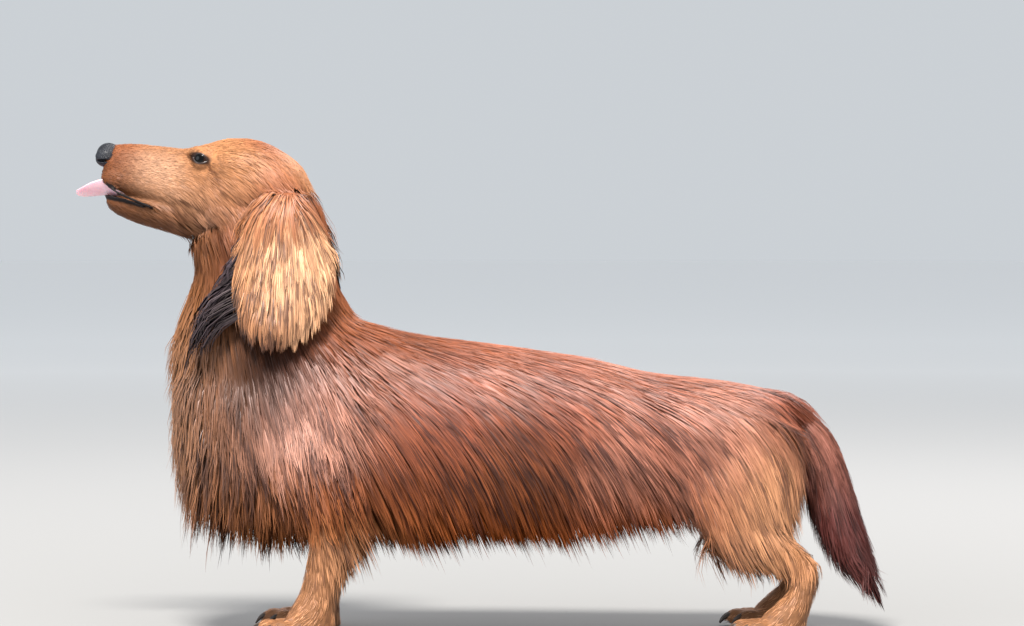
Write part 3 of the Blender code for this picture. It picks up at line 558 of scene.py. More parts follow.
# How the coat lies. Each row is a place on one side of the dog, with its distance from the
# middle as y, and the coat there: which way it runs (back, outward, up), its length, its depth
# over the skin, how freely it hangs off the body (0 clings, 1 hangs), and its colour. Between
# the rows all of these change smoothly, and the other side of the dog mirrors them.
HEAD_LIE = (
    ("nose bridge", (-148, 4, 40), (1, 0.1, 0.05), 3.5, 0.5, 0.0, "rust"),
    ("bridge", (-118, 4, 39), (1, 0.2, 0.0), 5, 0.8, 0.0, "amber"),
    ("stop", (-95, 4, 37), (1, 0.2, 0.15), 6, 0.9, 0.0, "amber"),
    ("muzzle side", (-127, 18, 15), (0.95, 0.0, -0.2), 4.5, 0.7, 0.0, "gold"),
    ("muzzle back", (-112, 20, 14), (0.97, 0.1, -0.2), 6, 0.9, 0.0, "gold"),
    ("nose side", (-152, 13, 27), (0.9, 0.1, -0.1), 4, 0.6, 0.0, "cinnamon"),
    ("whisker bed", (-146, 16, 15), (0.95, 0.0, -0.25), 4, 0.6, 0.0, "cinnamon"),
    ("lip front", (-158, 9, 14), (0.6, 0.3, -0.5), 4, 0.7, 0.2, "umber"),
    ("upper lip", (-146, 14, 8), (0.75, 0.2, -0.6), 4.5, 0.8, 0.3, "umber"),
    ("flews", (-125, 18, -2), (0.85, 0.1, -0.5), 5, 0.8, 0.3, "tan"),
    ("chin", (-146, 8, -14), (0.85, 0.1, -0.5), 6, 1.0, 0.5, "umber"),
    ("jaw", (-118, 16, -24), (0.93, 0.1, -0.3), 7, 1.0, 0.3, "umber"),
    ("jaw back", (-92, 22, -30), (0.9, 0.1, -0.4), 9, 1.3, 0.3, "tan"),
    ("jaw tuft", (-84, 27, -20), (0.85, 0.1, -0.5), 12, 2.0, 0.1, "gold"),
    ("under eye", (-88, 25, 10), (0.95, 0.15, -0.25), 6.5, 0.9, 0.0, "orange"),
    ("cheek", (-62, 33, -6), (0.88, 0.1, -0.45), 12, 1.8, 0.1, "copper"),
    ("low cheek", (-68, 32, -18), (0.8, 0.1, -0.6), 15, 2.2, 0.1, "russet"),
    ("cheek back", (-36, 36, -14), (0.75, 0.1, -0.65), 17, 2.5, 0.2, "russet"),
    ("brow", (-82, 17, 40), (0.9, 0.4, 0.2), 6, 0.9, 0.0, "orange"),
    ("forehead", (-68, 5, 47), (1, 0.1, 0.1), 8, 1.1, 0.0, "orange"),
    ("temple", (-52, 34, 26), (0.93, 0.1, -0.3), 10, 1.4, 0.0, "orange"),
    ("crown", (-34, 8, 45), (1, 0.15, -0.15), 12, 1.6, 0.0, "rust"),
    ("back skull", (-8, 8, 30), (0.9, 0.15, -0.5), 18, 2.5, 0.1, "orange"),
    ("throat latch", (-72, 14, -42), (0.75, 0.1, -0.5), 10, 1.3, 0.0, "tan"),
    ("jaw angle", (-58, 30, -32), (0.5, 0.1, -0.85), 30, 3.5, 0.2, "russet"),
    ("ear root", (-22, 33, 10), (0.7, 0.35, -0.65), 24, 2.0, 0.1, "rust"),
)
BODY_LIE = (
    ("nape", (-128, 18, 345), (0.5, 0.15, -0.85), 30, 3.0, 0.1, "rust"),
    ("mid nape", (-110, 25, 290), (0.35, 0.15, -0.93), 36, 4.0, 0.1, "rust"),
    ("low nape", (-92, 25, 245), (0.7, 0.15, -0.7), 36, 4.0, 0.1, "chestnut"),
    ("throat", (-232, 10, 332), (0.1, 0.1, -1), 24, 1.5, 0.0, "umber"),
    # The throat's side is darkened with painted shadow under the jaw.
    ("throat side", (-212, 33, 320), (0.25, 0.05, -1), 28, 1.5, 0.0, "walnut"),
    ("low throat", (-238, 15, 290), (-0.05, 0.1, -1), 30, 3.0, 0.1, "tan"),
    ("neck side", (-180, 44, 315), (0.35, 0.1, -0.93), 34, 3.5, 0.2, "russet"),
    # The hair below the ear is painted nearly black: painted shadow cast by the ear.
    ("low neck side", (-176, 54, 246), (0.25, 0.15, -0.95), 44, 4.0, 0.2, "soot"),
    ("under ear", (-172, 57, 225), (0.25, 0.15, -0.95), 44, 4.0, 0.2, "soot"),
    ("bib", (-250, 10, 264), (-0.65, 0.1, -0.9), 42, 4.5, 0.4, "fawn"),
    ("breast", (-250, 12, 235), (-0.25, 0.1, -1), 44, 4.0, 0.5, "fawn"),
    ("mid breast", (-246, 14, 185), (-0.1, 0.1, -1), 50, 4.0, 0.7, "fawn"),
    ("low breast", (-228, 28, 130), (-0.12, 0.1, -1), 52, 4.0, 0.9, "umber"),
    ("keel", (-195, 15, 104), (-0.05, 0.1, -1), 36, 4.0, 1.0, "umber"),
    ("shoulder front", (-212, 46, 205), (0.05, 0.1, -1), 46, 4.0, 0.3, "umber"),
    ("upper shoulder", (-125, 50, 232), (0.6, 0.2, -0.8), 38, 4.0, 0.1, "chestnut"),
    # The shoulder's pale pink is a painted sheen.
    ("shoulder", (-150, 62, 190), (0.3, 0.1, -0.95), 44, 4.0, 0.2, "blush"),
    ("low shoulder", (-165, 58, 135), (0.15, 0.1, -1), 46, 4.0, 0.4, "umber"),
    ("withers", (-78, 12, 250), (0.97, 0.25, -0.3), 30, 3.5, 0.0, "russet"),
    ("back", (0, 12, 238), (0.98, 0.25, -0.25), 30, 3.0, 0.0, "brick"),
    ("loin", (90, 12, 225), (0.98, 0.25, -0.25), 30, 3.0, 0.0, "brick"),
    ("croup", (170, 12, 211), (0.98, 0.25, -0.3), 30, 3.0, 0.0, "brick"),
    ("rump", (228, 14, 196), (0.9, 0.05, -0.5), 40, 3.0, 0.0, "mahogany"),
    ("tail root", (262, 8, 182), (0.8, 0.05, -0.65), 42, 3.0, 0.0, "mahogany"),
    ("upper ribs", (-50, 52, 215), (0.85, 0.15, -0.55), 38, 4.0, 0.0, "mahogany"),
    ("upper side", (40, 50, 208), (0.87, 0.15, -0.5), 38, 4.0, 0.0, "mahogany"),
    ("upper loin", (125, 46, 194), (0.87, 0.15, -0.5), 36, 4.0, 0.0, "mahogany"),
    ("ribs", (-70, 66, 165), (0.6, 0.0, -0.8), 44, 4.0, 0.1, "chestnut"),
    ("side", (20, 65, 162), (0.62, 0.0, -0.78), 46, 4.0, 0.1, "cocoa"),
    # The flank's rose tone is the coat's red with a painted pink sheen.
    ("flank", (110, 58, 158), (0.6, 0.0, -0.8), 44, 4.0, 0.1, "rosewood"),
    ("low ribs", (-75, 62, 118), (0.3, 0.05, -0.95), 44, 4.0, 0.4, "russet"),
    ("low side", (15, 60, 116), (0.32, 0.05, -0.95), 46, 4.0, 0.4, "cocoa"),
    ("low flank", (100, 54, 118), (0.35, 0.05, -0.93), 46, 4.0, 0.4, "chestnut"),
    ("brisket", (-110, 20, 88), (0.35, 0.05, -0.93), 24, 3.0, 1.0, "umber"),
    ("belly", (0, 20, 88), (0.4, 0.05, -0.92), 24, 3.0, 1.0, "cocoa"),
    ("tuck up", (110, 20, 100), (0.4, 0.05, -0.92), 30, 3.0, 1.0, "cocoa"),
    # The hip's rose tone is a painted pink sheen too.
    ("hip", (180, 52, 180), (0.8, 0.1, -0.6), 36, 4.0, 0.1, "rosewood"),
    ("fore thigh", (172, 58, 140), (0.5, 0.1, -0.87), 40, 4.0, 0.2, "chestnut"),
    ("thigh", (214, 62, 140), (0.5, 0.1, -0.87), 36, 4.0, 0.2, "copper"),
    ("thigh back", (248, 42, 132), (0.15, 0.1, -1), 40, 4.5, 0.5, "copper"),
    ("pin bone", (250, 18, 172), (0.7, 0.0, -0.8), 42, 3.5, 0.2, "walnut"),
    ("stifle", (175, 60, 98), (0.35, 0.05, -0.93), 40, 4.0, 0.6, "russet"),
    ("low thigh", (215, 64, 98), (0.35, 0.05, -0.93), 34, 4.0, 0.5, "copper"),
    ("inner thigh", (210, 22, 105), (0.4, 0.0, -0.9), 24, 3.0, 0.5, "copper"),
    ("upper arm", (-140, 68, 128), (0.25, 0.1, -0.95), 34, 3.5, 0.4, "russet"),
)
LEG_LIE = (
    ("forearm", (-140, 60, 85), (0.1, 0.05, -1), 12, 1.8, 0.1, "copper"),
    ("forearm back", (-104, 52, 92), (0.55, 0.1, -0.8), 36, 3.0, 0.8, "copper"),
    ("wrist", (-136, 60, 48), (0.05, 0.05, -1), 8, 1.4, 0.1, "copper"),
    ("wrist back", (-115, 50, 50), (0.3, 0.1, -0.9), 18, 1.8, 0.6, "copper"),
    ("front paw", (-150, 58, 18), (-0.75, 0.15, -0.6), 6, 1.0, 0.1, "copper"),
    ("front toes", (-172, 50, 11), (-0.9, 0.05, -0.4), 5, 0.8, 0.1, "copper"),
    ("shank", (225, 58, 74), (0.5, 0.05, -0.85), 20, 2.5, 0.3, "copper"),
    ("hock", (266, 50, 62), (0.2, 0.1, -0.95), 18, 2.0, 0.4, "copper"),
    ("pastern", (258, 57, 38), (0.05, 0.05, -1), 8, 1.4, 0.1, "copper"),
    ("hind paw", (246, 58, 18), (-0.7, 0.15, -0.65), 6, 1.0, 0.1, "copper"),
    ("hind toes", (220, 50, 11), (-0.9, 0.05, -0.4), 5, 0.8, 0.1, "copper"),
)
# Linear colours of the hair.
HAIR_COLOURS = {
    "rust": (0.320, 0.100, 0.037),
    "amber": (0.390, 0.165, 0.070),
    "gold": (0.620, 0.350, 0.215),
    "tan": (0.300, 0.110, 0.033),
    "umber": (0.150, 0.052, 0.018),
    "fawn": (0.300, 0.140, 0.070),
    "orange": (0.490, 0.215, 0.090),
    "russet": (0.210, 0.056, 0.015),
    "chestnut": (0.210, 0.048, 0.012),
    "mahogany": (0.230, 0.050, 0.018),
    "cocoa": (0.160, 0.038, 0.007),
    "brick": (0.320, 0.088, 0.034),
    # the pink sheen of the shoulder, painted into its colour
    "blush": (0.600, 0.290, 0.210),
    "copper": (0.510, 0.230, 0.105),
    "blond": (0.660, 0.370, 0.205),
    "plum": (0.095, 0.022, 0.018),
    "black": (0.012, 0.008, 0.010),
    "lip": (0.008, 0.006, 0.007),
    "lash": (0.035, 0.014, 0.008),
    # painted shadow under the ear, not a colour of the coat
    "soot": (0.006, 0.003, 0.003),
    # the coat's red with its pink sheen painted in
    "rosewood": (0.430, 0.175, 0.115),
    "walnut": (0.120, 0.030, 0.014),
    "cinnamon": (0.190, 0.052, 0.013),
}
HAIR_COLOURS = {name: np.array(colour) for name, colour in HAIR_COLOURS.items()}
# How far a row of the chart is felt, in millimetres.
HEAD_REACH, BODY_REACH, LEG_REACH = 17.0, 34.0, 20.0
FAR_WEIGHT = 1e-5  # keeps a colour where no row is near
MIDDLE_BAND = 10  # half width of the strip where hair of both sides turns straight back
REGIONS = ("head", "neck", "chest", "torso", "hindquarters", "forelegs", "hind_feet")
REGION_OF = {
    "nape": "neck", "mid nape": "neck", "low nape": "neck", "throat": "neck",
    "low throat": "neck", "throat side": "neck", "bib": "chest",
    "neck side": "neck", "low neck side": "neck", "under ear": "neck",
    "breast": "chest", "mid breast": "chest", "low breast": "chest", "keel": "chest",
    "shoulder front": "chest", "shoulder": "chest", "low shoulder": "chest",
    "upper shoulder": "chest", "upper arm": "chest",
    "hip": "hindquarters", "fore thigh": "hindquarters", "thigh": "hindquarters",
    "thigh back": "hindquarters", "pin bone": "hindquarters", "stifle": "hindquarters",
    "low thigh": "hindquarters", "inner thigh": "hindquarters",
}


def unit(vectors):
    lengths = np.linalg.norm(vectors, axis=-1, keepdims=True)
    return vectors / np.maximum(lengths, 1e-9)


def scale_sideways(amounts):
    """Factors that change only the sideways part of directions."""
    ones = np.ones_like(amounts)
    return np.stack([ones, amounts, ones], 1)


def on_right(plan):
    """Where places would be on the dog's right side, which the left one mirrors."""
    return plan * (1, 0, 1) + np.abs(plan) * (0, 1, 0)


class Combing:
    """Reads the coat's chart at any places, given in millimetres of the plan."""

    def __init__(self):
        rows = [
            (name, Vector(at) + POLL, *rest, HEAD_REACH, "head")
            for name, at, *rest in HEAD_LIE
        ]
        rows += [(*row, BODY_REACH, REGION_OF.get(row[0], "torso")) for row in BODY_LIE]
        rows += [
            (*row, LEG_REACH, "forelegs" if row[1][0] < 0 else "hind_feet") for row in LEG_LIE
        ]
        self.places = np.array([row[1] for row in rows], float)
        self.reach = np.array([row[7] for row in rows])
        self.region = np.array([REGIONS.index(row[8]) for row in rows])
        lies = np.array([row[2] for row in rows], float)
        numbers = np.array([row[3:6] for row in rows], float)
        colours = np.array([HAIR_COLOURS[row[6]] for row in rows])
        self.values = np.hstack([lies, numbers, colours])

    def read(self, at):
        mirrored = on_right(at)
        weights = np.empty((len(at), len(self.places)), np.float32)
        for column, (place, reach) in enumerate(zip(self.places, self.reach)):
            apart = ((mirrored - place) ** 2).sum(1) / reach**2
            weights[:, column] = np.exp(-apart) + FAR_WEIGHT / (1 + apart) ** 2
        region = self.region[np.argmax(weights, axis=1)]
        values = (weights / weights.sum(1)[:, None]) @ self.values
        sideways = np.clip(at[:, 1] / MIDDLE_BAND, -1, 1)
        return {
            "lie": unit(values[:, :3] * scale_sideways(sideways)),
            "length": values[:, 3], "depth": values[:, 4], "hang": values[:, 5],
            "colour": values[:, 6:9], "region": region,
        }


combing = Combing()
shift_array = np.array(shift)


def to_plan(places):
    """Metres in the frame to millimetres of the plan."""
    return (places - shift_array) / MILLIMETRE


def from_plan(places):
    return places * MILLIMETRE + shift_array


def read_points(data, field="co"):
    source = data.vertices if field == "co" else data.vertex_normals
    name = "co" if field == "co" else "vector"
    read = np.empty(len(source) * 3, np.float32)
    source.foreach_get(name, read)
    return read.reshape(-1, 3).astype(float)


EAR_STATIONS = np.array(smooth_rows(EAR, STATION_STEPS))[::-1]
EAR_NEAR = 1.6  # how far off the flap its faces may lie
EAR_BEYOND = 1.06  # and how far past its edges, in half widths


def on_ear(plan):
    """Which places belong to the hanging flaps of the ears."""
    x, y, z = plan[:, 0] - POLL.x, np.abs(plan[:, 1]), plan[:, 2] - POLL.z
    middle_x, middle_y, half_width, half_thick, cup = (
        np.interp(z, EAR_STATIONS[:, 2], EAR_STATIONS[:, column]) for column in (0, 1, 3, 4, 5)
    )
    across = (x - middle_x) / half_width
    flap = middle_y - cup * across**2
    close = (np.abs(y - flap) < half_thick + EAR_NEAR) & (np.abs(across) < EAR_BEYOND)
    return close & (z < EAR[1][2]) & (z > EAR[-1][2] - EAR_NEAR)


TAIL_FRONT, TAIL_TOP, TAIL_HALF_WIDTH = 256, 178, 17  # x, z and y that bound the tail


def on_tail(plan):
    """Which places belong to the tail, and not to the rump or a thigh."""
    x, z = plan[:, 0], plan[:, 2]
    behind = (x > TAIL_FRONT) & (x > 262 - (z - 80) * 0.05)
    return behind & (np.abs(plan[:, 1]) < TAIL_HALF_WIDTH) & (z < TAIL_TOP)


def eye_far(plan):
    """Distance in millimetres from the nearer eye's middle."""
    return np.linalg.norm(on_right(plan) - (np.array(POLL) + np.array(EYE)), axis=1)


LIDS_THIN = (12, 20)  # from the eye's middle: the coat is thinnest within, and full beyond
LEAST_DEPTH = 0.2
SOLES = 0.0004  # metres over the floor


def let_down(piece):
    """Lowers the skin by the depth of the coat that will cover it."""
    places = read_points(piece.data)
    ups = read_points(piece.data, "normal")
    plan = to_plan(places)
    depth = np.where(on_ear(plan), 0.0, combing.read(plan)["depth"])
    nearest, full = LIDS_THIN
    depth = depth * np.clip((eye_far(plan) - nearest) / (full - nearest), LEAST_DEPTH, 1)
    places = places - ups * (depth * MILLIMETRE)[:, None]
    places[:, 2] = np.maximum(places[:, 2], SOLES)
    piece.data.vertices.foreach_set("co", places.ravel())
    piece.data.update()


let_down(skin)
let_down(head_skin)

UPPER_LIP = ((-180, 15), (-162, 10.5), (-157, 6), (-150, -0.4), (-141.6, -3.9), (-122, -12.2))
LOWER_LIP = ((-122, -12.8), (-141.6, -5.0), (-150, -3.2), (-156, -1.9), (-162, -1.2), (-180, -1))
MOUTH_HALF_WIDTH = 40
SOCKET_GAP = 0.25  # round the eyeball
cuts = [piece_from("mouth", [slab(UPPER_LIP + LOWER_LIP, head_place, MOUTH_HALF_WIDTH)])]
for hand in (-1, 1):
    centre, out, long, high = eye_frame(hand)
    cuts.append(piece_from("socket", [ball(centre, (EYE_RADIUS + SOCKET_GAP,) * 3)]))
    rings = [
        [centre + (long * a + high * b + out * depth) * MILLIMETRE for a, b in lid_rim()]
        for depth in (EYE_RADIUS * 0.3, EYE_RADIUS * 2)
    ]
    cuts.append(piece_from("lid_opening", [loft(rings)]))
combine(head_skin, "DIFFERENCE", cuts)
combine(skin, "UNION", [head_skin])
skin.data.shade_smooth()


LID_SHIFT = 0.8  # the dark ring reaches forward of the almond
LID_STRETCH = 1.5
BEHIND_EYE = 9  # sets places behind the eyeball's middle apart
LASH_REACH, LASH_EDGE = 1.32, 0.3  # in sizes of the almond
FOLD_SHADE_HALF, FOLD_SHADE_EDGE = 2.6, 2.0  # half width, and how much of it fades
FOLD_SHADE_SIDE = 15  # the fold lies beyond this on either side


def eye_distance(plan):
    """How many times the almond's own size a place lies from the middle of the lids."""
    centre, out, long, high = (np.array(vector) for vector in eye_frame(1))
    offset = from_plan(on_right(plan)) - centre
    across = (offset @ long / MILLIMETRE + LID_SHIFT) / (LID_OPENING[0] + LID_STRETCH)
    up = offset @ high / MILLIMETRE / LID_OPENING[1]
    return np.sqrt(across**2 + up**2) + (offset @ out < 0) * BEHIND_EYE


def mix(first, second, share):
    return first + (second - first) * np.clip(share, 0, 1)[:, None]


def colour_of(plan):
    """The markings that skin and coat share, as linear colours, with painted shade along the fold
    below each eye.
    """
    colour = combing.read(plan)["colour"]
    # painted shade along the fold below the eye
    start, end = (np.array(point) for point in EYE_FOLD_SHADE)
    off = plan[:, (0, 2)] - (POLL.x, POLL.z) - start
    run = end - start
    t = np.clip((off[:, 0] * run[0] + off[:, 1] * run[1]) / (run @ run), 0, 1)
    apart = np.hypot(off[:, 0] - t * run[0], off[:, 1] - t * run[1])
    strength = (FOLD_SHADE_HALF - apart) / FOLD_SHADE_EDGE * (1.2 - 0.6 * t)
    fold_shade = np.where(np.abs(plan[:, 1]) > FOLD_SHADE_SIDE, strength, 0)
    colour = mix(colour, HAIR_COLOURS["umber"], fold_shade)
    return mix(colour, HAIR_COLOURS["lash"], (LASH_REACH - eye_distance(plan)) / LASH_EDGE)


def near_lips(plan):
    """Distance in millimetres from the edges of the lips."""
    nearest = np.full(len(plan), 99.0)
    side = np.abs(plan[:, 1])
    for line in LIP_LINES:
        for x, y, z in smooth_rows(line, 6):
            apart = np.sqrt(
                (plan[:, 0] - POLL.x - x) ** 2 + (side - y) ** 2 + (plan[:, 2] - POLL.z - z) ** 2
            )
            nearest = np.minimum(nearest, apart)
    return nearest


def set_colours(data, name, colours):
    layer = data.attributes.new(name, "FLOAT_COLOR", "POINT")
    full = np.hstack([np.clip(colours, 0, 1), np.ones((len(colours), 1))])
    layer.data.foreach_set("color", full.astype(np.float32).ravel())


def set_numbers(data, name, values):
    layer = data.attributes.new(name, "FLOAT", "POINT")
    layer.data.foreach_set("value", values.astype(np.float32))


# The skin shows between the hairs, darkened with painted shade under long hair and less on the
# face.
SHADE_LONG, LIGHTER_FACE = 0.55, 0.3
FACE_LOWEST, FACE_BAND = 330, 20
LIP_REACH, LIP_EDGE = 3.4, 0.8
skin_plan = to_plan(read_points(skin.data))
on_face = np.clip((skin_plan[:, 2] - FACE_LOWEST) / FACE_BAND, 0, 1) * (skin_plan[:, 0] < POLL.x)
skin_colours = colour_of(skin_plan) * (SHADE_LONG + LIGHTER_FACE * on_face)[:, None]
lips = (LIP_REACH - near_lips(skin_plan)) / LIP_EDGE
skin_colours = mix(skin_colours, HAIR_COLOURS["lip"], lips)
set_colours(skin.data, "markings", skin_colours)


hide = Finish("hide", 0.55, Specular_IOR_Level=0.2)
mottle = hide.ramp(hide.noise(160, 4), ((0.3, (0.75, 0.75, 0.75)), (0.7, (1.15, 1.15, 1.15))))
hide.colour(hide.multiply(hide.attribute("markings").outputs["Color"], mottle))
hide.bump(hide.noise(900, 3), 0.0004)
hide.put_on(skin)
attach(skin, "root")
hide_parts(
    "torso", "neck", "tail", "head", "lower_jaw", "ear_left", "ear_right",
    "foreleg_left", "foreleg_right", "hindleg_left", "hindleg_right",
)


# The eyes. Two wet, nearly black balls with a dark brown iris, each under its clear cornea,
# with a thin black rim of bare skin round the opening of the lids.
IRIS_SHARE = 0.80  # cosine of the angle from the eye's axis to the iris's edge
PUPIL_SHARE = 0.955
CORNEA_RISE = 0.7
RIM_RADIUS = 1.0
RIM_SIDES = 8
RIM_INSET = 0.99  # keeps the rim just inside the opening
SIDES = ((-1, "left"), (1, "right"))


def on_eyeball(hand, across, up):
    """A place on the eyeball's front, across and up from its axis in millimetres."""
    centre, out, long, high = eye_frame(hand)
    depth = math.sqrt(max(EYE_RADIUS**2 - across**2 - up**2, 1))
    return centre + (long * across + high * up + out * depth) * MILLIMETRE


for hand, side in SIDES:
    centre, out, long, high = eye_frame(hand)
    bm = ball(Vector(), (EYE_RADIUS,) * 3, 64)
    for vert in bm.verts:
        facing = vert.co.normalized().dot(out)
        bulge = max(facing - IRIS_SHARE, 0) / (1 - IRIS_SHARE)
        rise = vert.co.normalized() * bulge**0.5 * (1 - 0.4 * bulge)
        vert.co += rise * CORNEA_RISE * MILLIMETRE
    bmesh.ops.translate(bm, vec=centre, verts=bm.verts)
    eye = piece_from(f"eyeball_{side}", [bm])
    eye.data.shade_smooth()
    wet = Finish(f"wet_eye_{side}", 0.15, Specular_IOR_Level=0.1, Coat_Weight=0.25,
                 Coat_Roughness=0.03)
    offset = wet.node("ShaderNodeVectorMath", operation="SUBTRACT")
    wet.join(wet.place, offset.inputs[0])
    offset.inputs[1].default_value = centre
    facing = wet.node("ShaderNodeVectorMath", operation="DOT_PRODUCT")
    wet.join(offset.outputs[0], facing.inputs[0])
    facing.inputs[1].default_value = out / (EYE_RADIUS * MILLIMETRE)
    zones = wet.ramp(facing.outputs["Value"], (
        (0.0, (0.10, 0.06, 0.05)), (IRIS_SHARE - 0.05, (0.04, 0.02, 0.016)),
        (IRIS_SHARE, (0.006, 0.003, 0.003)), (IRIS_SHARE + 0.04, (0.030, 0.011, 0.005)),
        (PUPIL_SHARE - 0.03, (0.016, 0.006, 0.003)), (PUPIL_SHARE, (0.001, 0.001, 0.001)),
    ))
    wet.colour(zones)
    wet.bump(wet.noise(1500, 2), 0.00002, 0.3)
    wet.put_on(eye)
    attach(eye, "root")
    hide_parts(f"eye_{side}")

    rim = [on_eyeball(hand, a * RIM_INSET, b * RIM_INSET) for a, b in lid_rim()]
    bm = bmesh.new()
    sections = []
    for i, point in enumerate(rim):
        along = (rim[(i + 1) % len(rim)] - rim[i - 1]).normalized()
        first = (point - centre).normalized()
        second = along.cross(first)
        ring = bmesh.ops.create_circle(bm, segments=RIM_SIDES, radius=1)["verts"]
        for vert, turn in zip(ring, turns(RIM_SIDES)):
            off = first * math.cos(turn) + second * math.sin(turn)
            vert.co = point + off * (RIM_RADIUS * MILLIMETRE)
        sections.append({edge for vert in ring for edge in vert.link_edges})
    for low, high_ring in zip(sections, sections[1:] + sections[:1]):
        bmesh.ops.bridge_loops(bm, edges=list(low | high_ring))
    bmesh.ops.recalc_face_normals(bm, faces=bm.faces)
    lid = piece_from(f"lid_rim_{side}", [bm])
    lid.data.shade_smooth()
    black_skin = Finish(f"black_skin_{side}", 0.32)
    black_skin.colour(black_skin.ramp(
        black_skin.noise(500, 3), ((0.35, (0.012, 0.008, 0.008)), (0.75, (0.060, 0.032, 0.030)))
    ))
    black_skin.bump(black_skin.noise(1800, 2), 0.0001, 0.4)
    black_skin.put_on(lid)
    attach(lid, "root")


# The nose. A pad of bare, grained, moist skin at the end of the muzzle, slate black with a
# cool sheen, with round nostrils that open into slits at the sides and a groove down the middle.
NOSE_FORMS = (((-156.4, 0, 30.6), (10.2, 10, 10.4)), ((-158, 5.6, 28.8), (9, 6.4, 8)))
NOSTRILS = (((-167.2, 4.8, 28.3), (5, 2.3, 2.5)), ((-160, 10, 26.2), (6, 3, 1.2)))
NOSE_GROOVE = ((-167.1, 0, 23.8), (3.2, 0.7, 6))
NOSE_VOXEL = 0.00045


def pair_of_balls(forms):
    return [ball(head_place(x, hand * y, z), size) for (x, y, z), size in forms for hand in (-1, 1)]


nose = piece_from("nose_pad", pair_of_balls(NOSE_FORMS))
melt(nose, NOSE_VOXEL, 8)
holes = [piece_from("hole", [form]) for form in pair_of_balls(NOSTRILS)]
groove_place, groove_size = NOSE_GROOVE
holes.append(piece_from("groove", [ball(head_place(*groove_place), groove_size)]))
combine(nose, "DIFFERENCE", holes)
melt(nose, NOSE_VOXEL, 4)
nose.data.shade_smooth()
leather = Finish("nose_leather", 0.42, Specular_IOR_Level=0.3, Coat_Weight=0.08,
                 Coat_Roughness=0.3)
cells = leather.node("ShaderNodeTexVoronoi", feature="DISTANCE_TO_EDGE")
cells.inputs["Scale"].default_value = 900
leather.join(leather.place, cells.inputs["Vector"])
slate = leather.ramp(
    leather.noise(120, 2), ((0.3, (0.008, 0.009, 0.014)), (0.7, (0.022, 0.026, 0.038)))
)
# The furrows between the grains are darkened: painted shade in the grooves.
furrow_shade = leather.ramp(cells.outputs["Distance"], ((0.0, (0.4, 0.4, 0.4)), (0.25, (1, 1, 1))))
leather.colour(leather.multiply(slate, furrow_shade))
grain = leather.ramp(cells.outputs["Distance"], ((0.0, (0, 0, 0)), (0.3, (1, 1, 1))))
leather.bump(grain, 0.00018)
leather.put_on(nose)
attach(nose, "root")
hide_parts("nose")


# The tongue. A wet, pink, soft blade that comes out between the lips, widens over them and
# ends in a thin rounded tip, its edges curled up a little and a groove along its middle.
# Stations from the poll: x, z, half width, half thickness, and how far the edges curl up.
TONGUE = (
    (-116, -10.5, 6, 1.4, 0), (-124, -8.5, 7, 1.6, 0), (-138, -3.5, 8, 2.2, 0),
    (-148, -0.2, 9.0, 3.2, 2.4), (-157, 2.0, 11.2, 4.0, 8.4), (-168, 0.1, 11.8, 3.0, 8.8),
    (-177.5, -1.1, 9.4, 2.2, 5.4), (-181.8, -0.4, 5.6, 1.6, 2.6), (-182.8, 0.2, 2.5, 0.9, 1.4),
)
TONGUE_SIDES = 40
TONGUE_STEPS = 5
GROOVE_DEPTH = 0.8
GROOVE_WIDTH = 0.22  # as a share of the tongue's half width
GROOVE_FULL = 3  # half thickness from which the groove is full
rings = []
for x, z, half_width, half_thick, curl in smooth_rows(TONGUE, TONGUE_STEPS):
    ring = []
    for turn in turns(TONGUE_SIDES):
        across = math.cos(turn)
        groove = GROOVE_DEPTH * max(math.sin(turn), 0) * math.exp(-(across / GROOVE_WIDTH) ** 2)
        groove *= min(half_thick / GROOVE_FULL, 1)
        height = z + curl * across**2 + half_thick * math.sin(turn) - groove
        ring.append(head_place(x, half_width * across, height))
    rings.append(ring)
tongue = piece_from("tongue_blade", [loft(rings)])
tongue.data.shade_smooth()
wet_pink = Finish(
    "wet_tongue", 0.30, Subsurface_Weight=0.25, Subsurface_Radius=(0.004, 0.0015, 0.001),
    Coat_Weight=0.4, Coat_Roughness=0.15,
)
wet_pink.shader.inputs["Subsurface Scale"].default_value = 1.0
buds = wet_pink.noise(1600, 2)
wet_pink.colour(wet_pink.multiply(
    wet_pink.ramp(wet_pink.noise(90, 3), ((0.3, (0.90, 0.52, 0.62)), (0.7, (1.0, 0.68, 0.76)))),
    wet_pink.ramp(buds, ((0.3, (0.86, 0.82, 0.82)), (0.7, (1, 1, 1)))),
))
wet_pink.bump(buds, 0.00012, 0.6)
wet_pink.put_on(tongue)
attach(tongue, "root")
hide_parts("tongue")


# The claws. Short, blunt, curved horn, dark at the root and paler at the worn tip, one at the
# end of each toe. Stations run from the toe's middle: x, z and radius.
CLAW_STATIONS = ((3, 1.5, 2.3), (-6, 2.5, 2.3), (-12, 0, 1.7), (-16, -4.5, 0.5))
CLAW_STEPS = 6
horn = Finish("claw_horn", 0.30)
horn.colour(horn.ramp(
    horn.noise(60, 3, (1, 1, 4)), ((0.3, (0.018, 0.012, 0.010)), (0.75, (0.110, 0.070, 0.050)))
))
horn.bump(horn.noise(420, 2, (1, 6, 1)), 0.0001, 0.5)
claw_rows = smooth_rows(CLAW_STATIONS, CLAW_STEPS)
claw_radii = [radius for x, z, radius in claw_rows]
for which in PAWS:
    for hand, side in SIDES:
        for number, toe in enumerate(toe_places(which, hand), 1):
            points = [toe + Vector((x, 0, z)) * MILLIMETRE for x, z, radius in claw_rows]
            claw = piece_from(f"nail_{which}_{side}_{number}", [roll(points, claw_radii)])
            claw.data.shade_smooth()
            horn.put_on(claw)
            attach(claw, "root")
            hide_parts(f"claw_{which}_{side}_{number}")


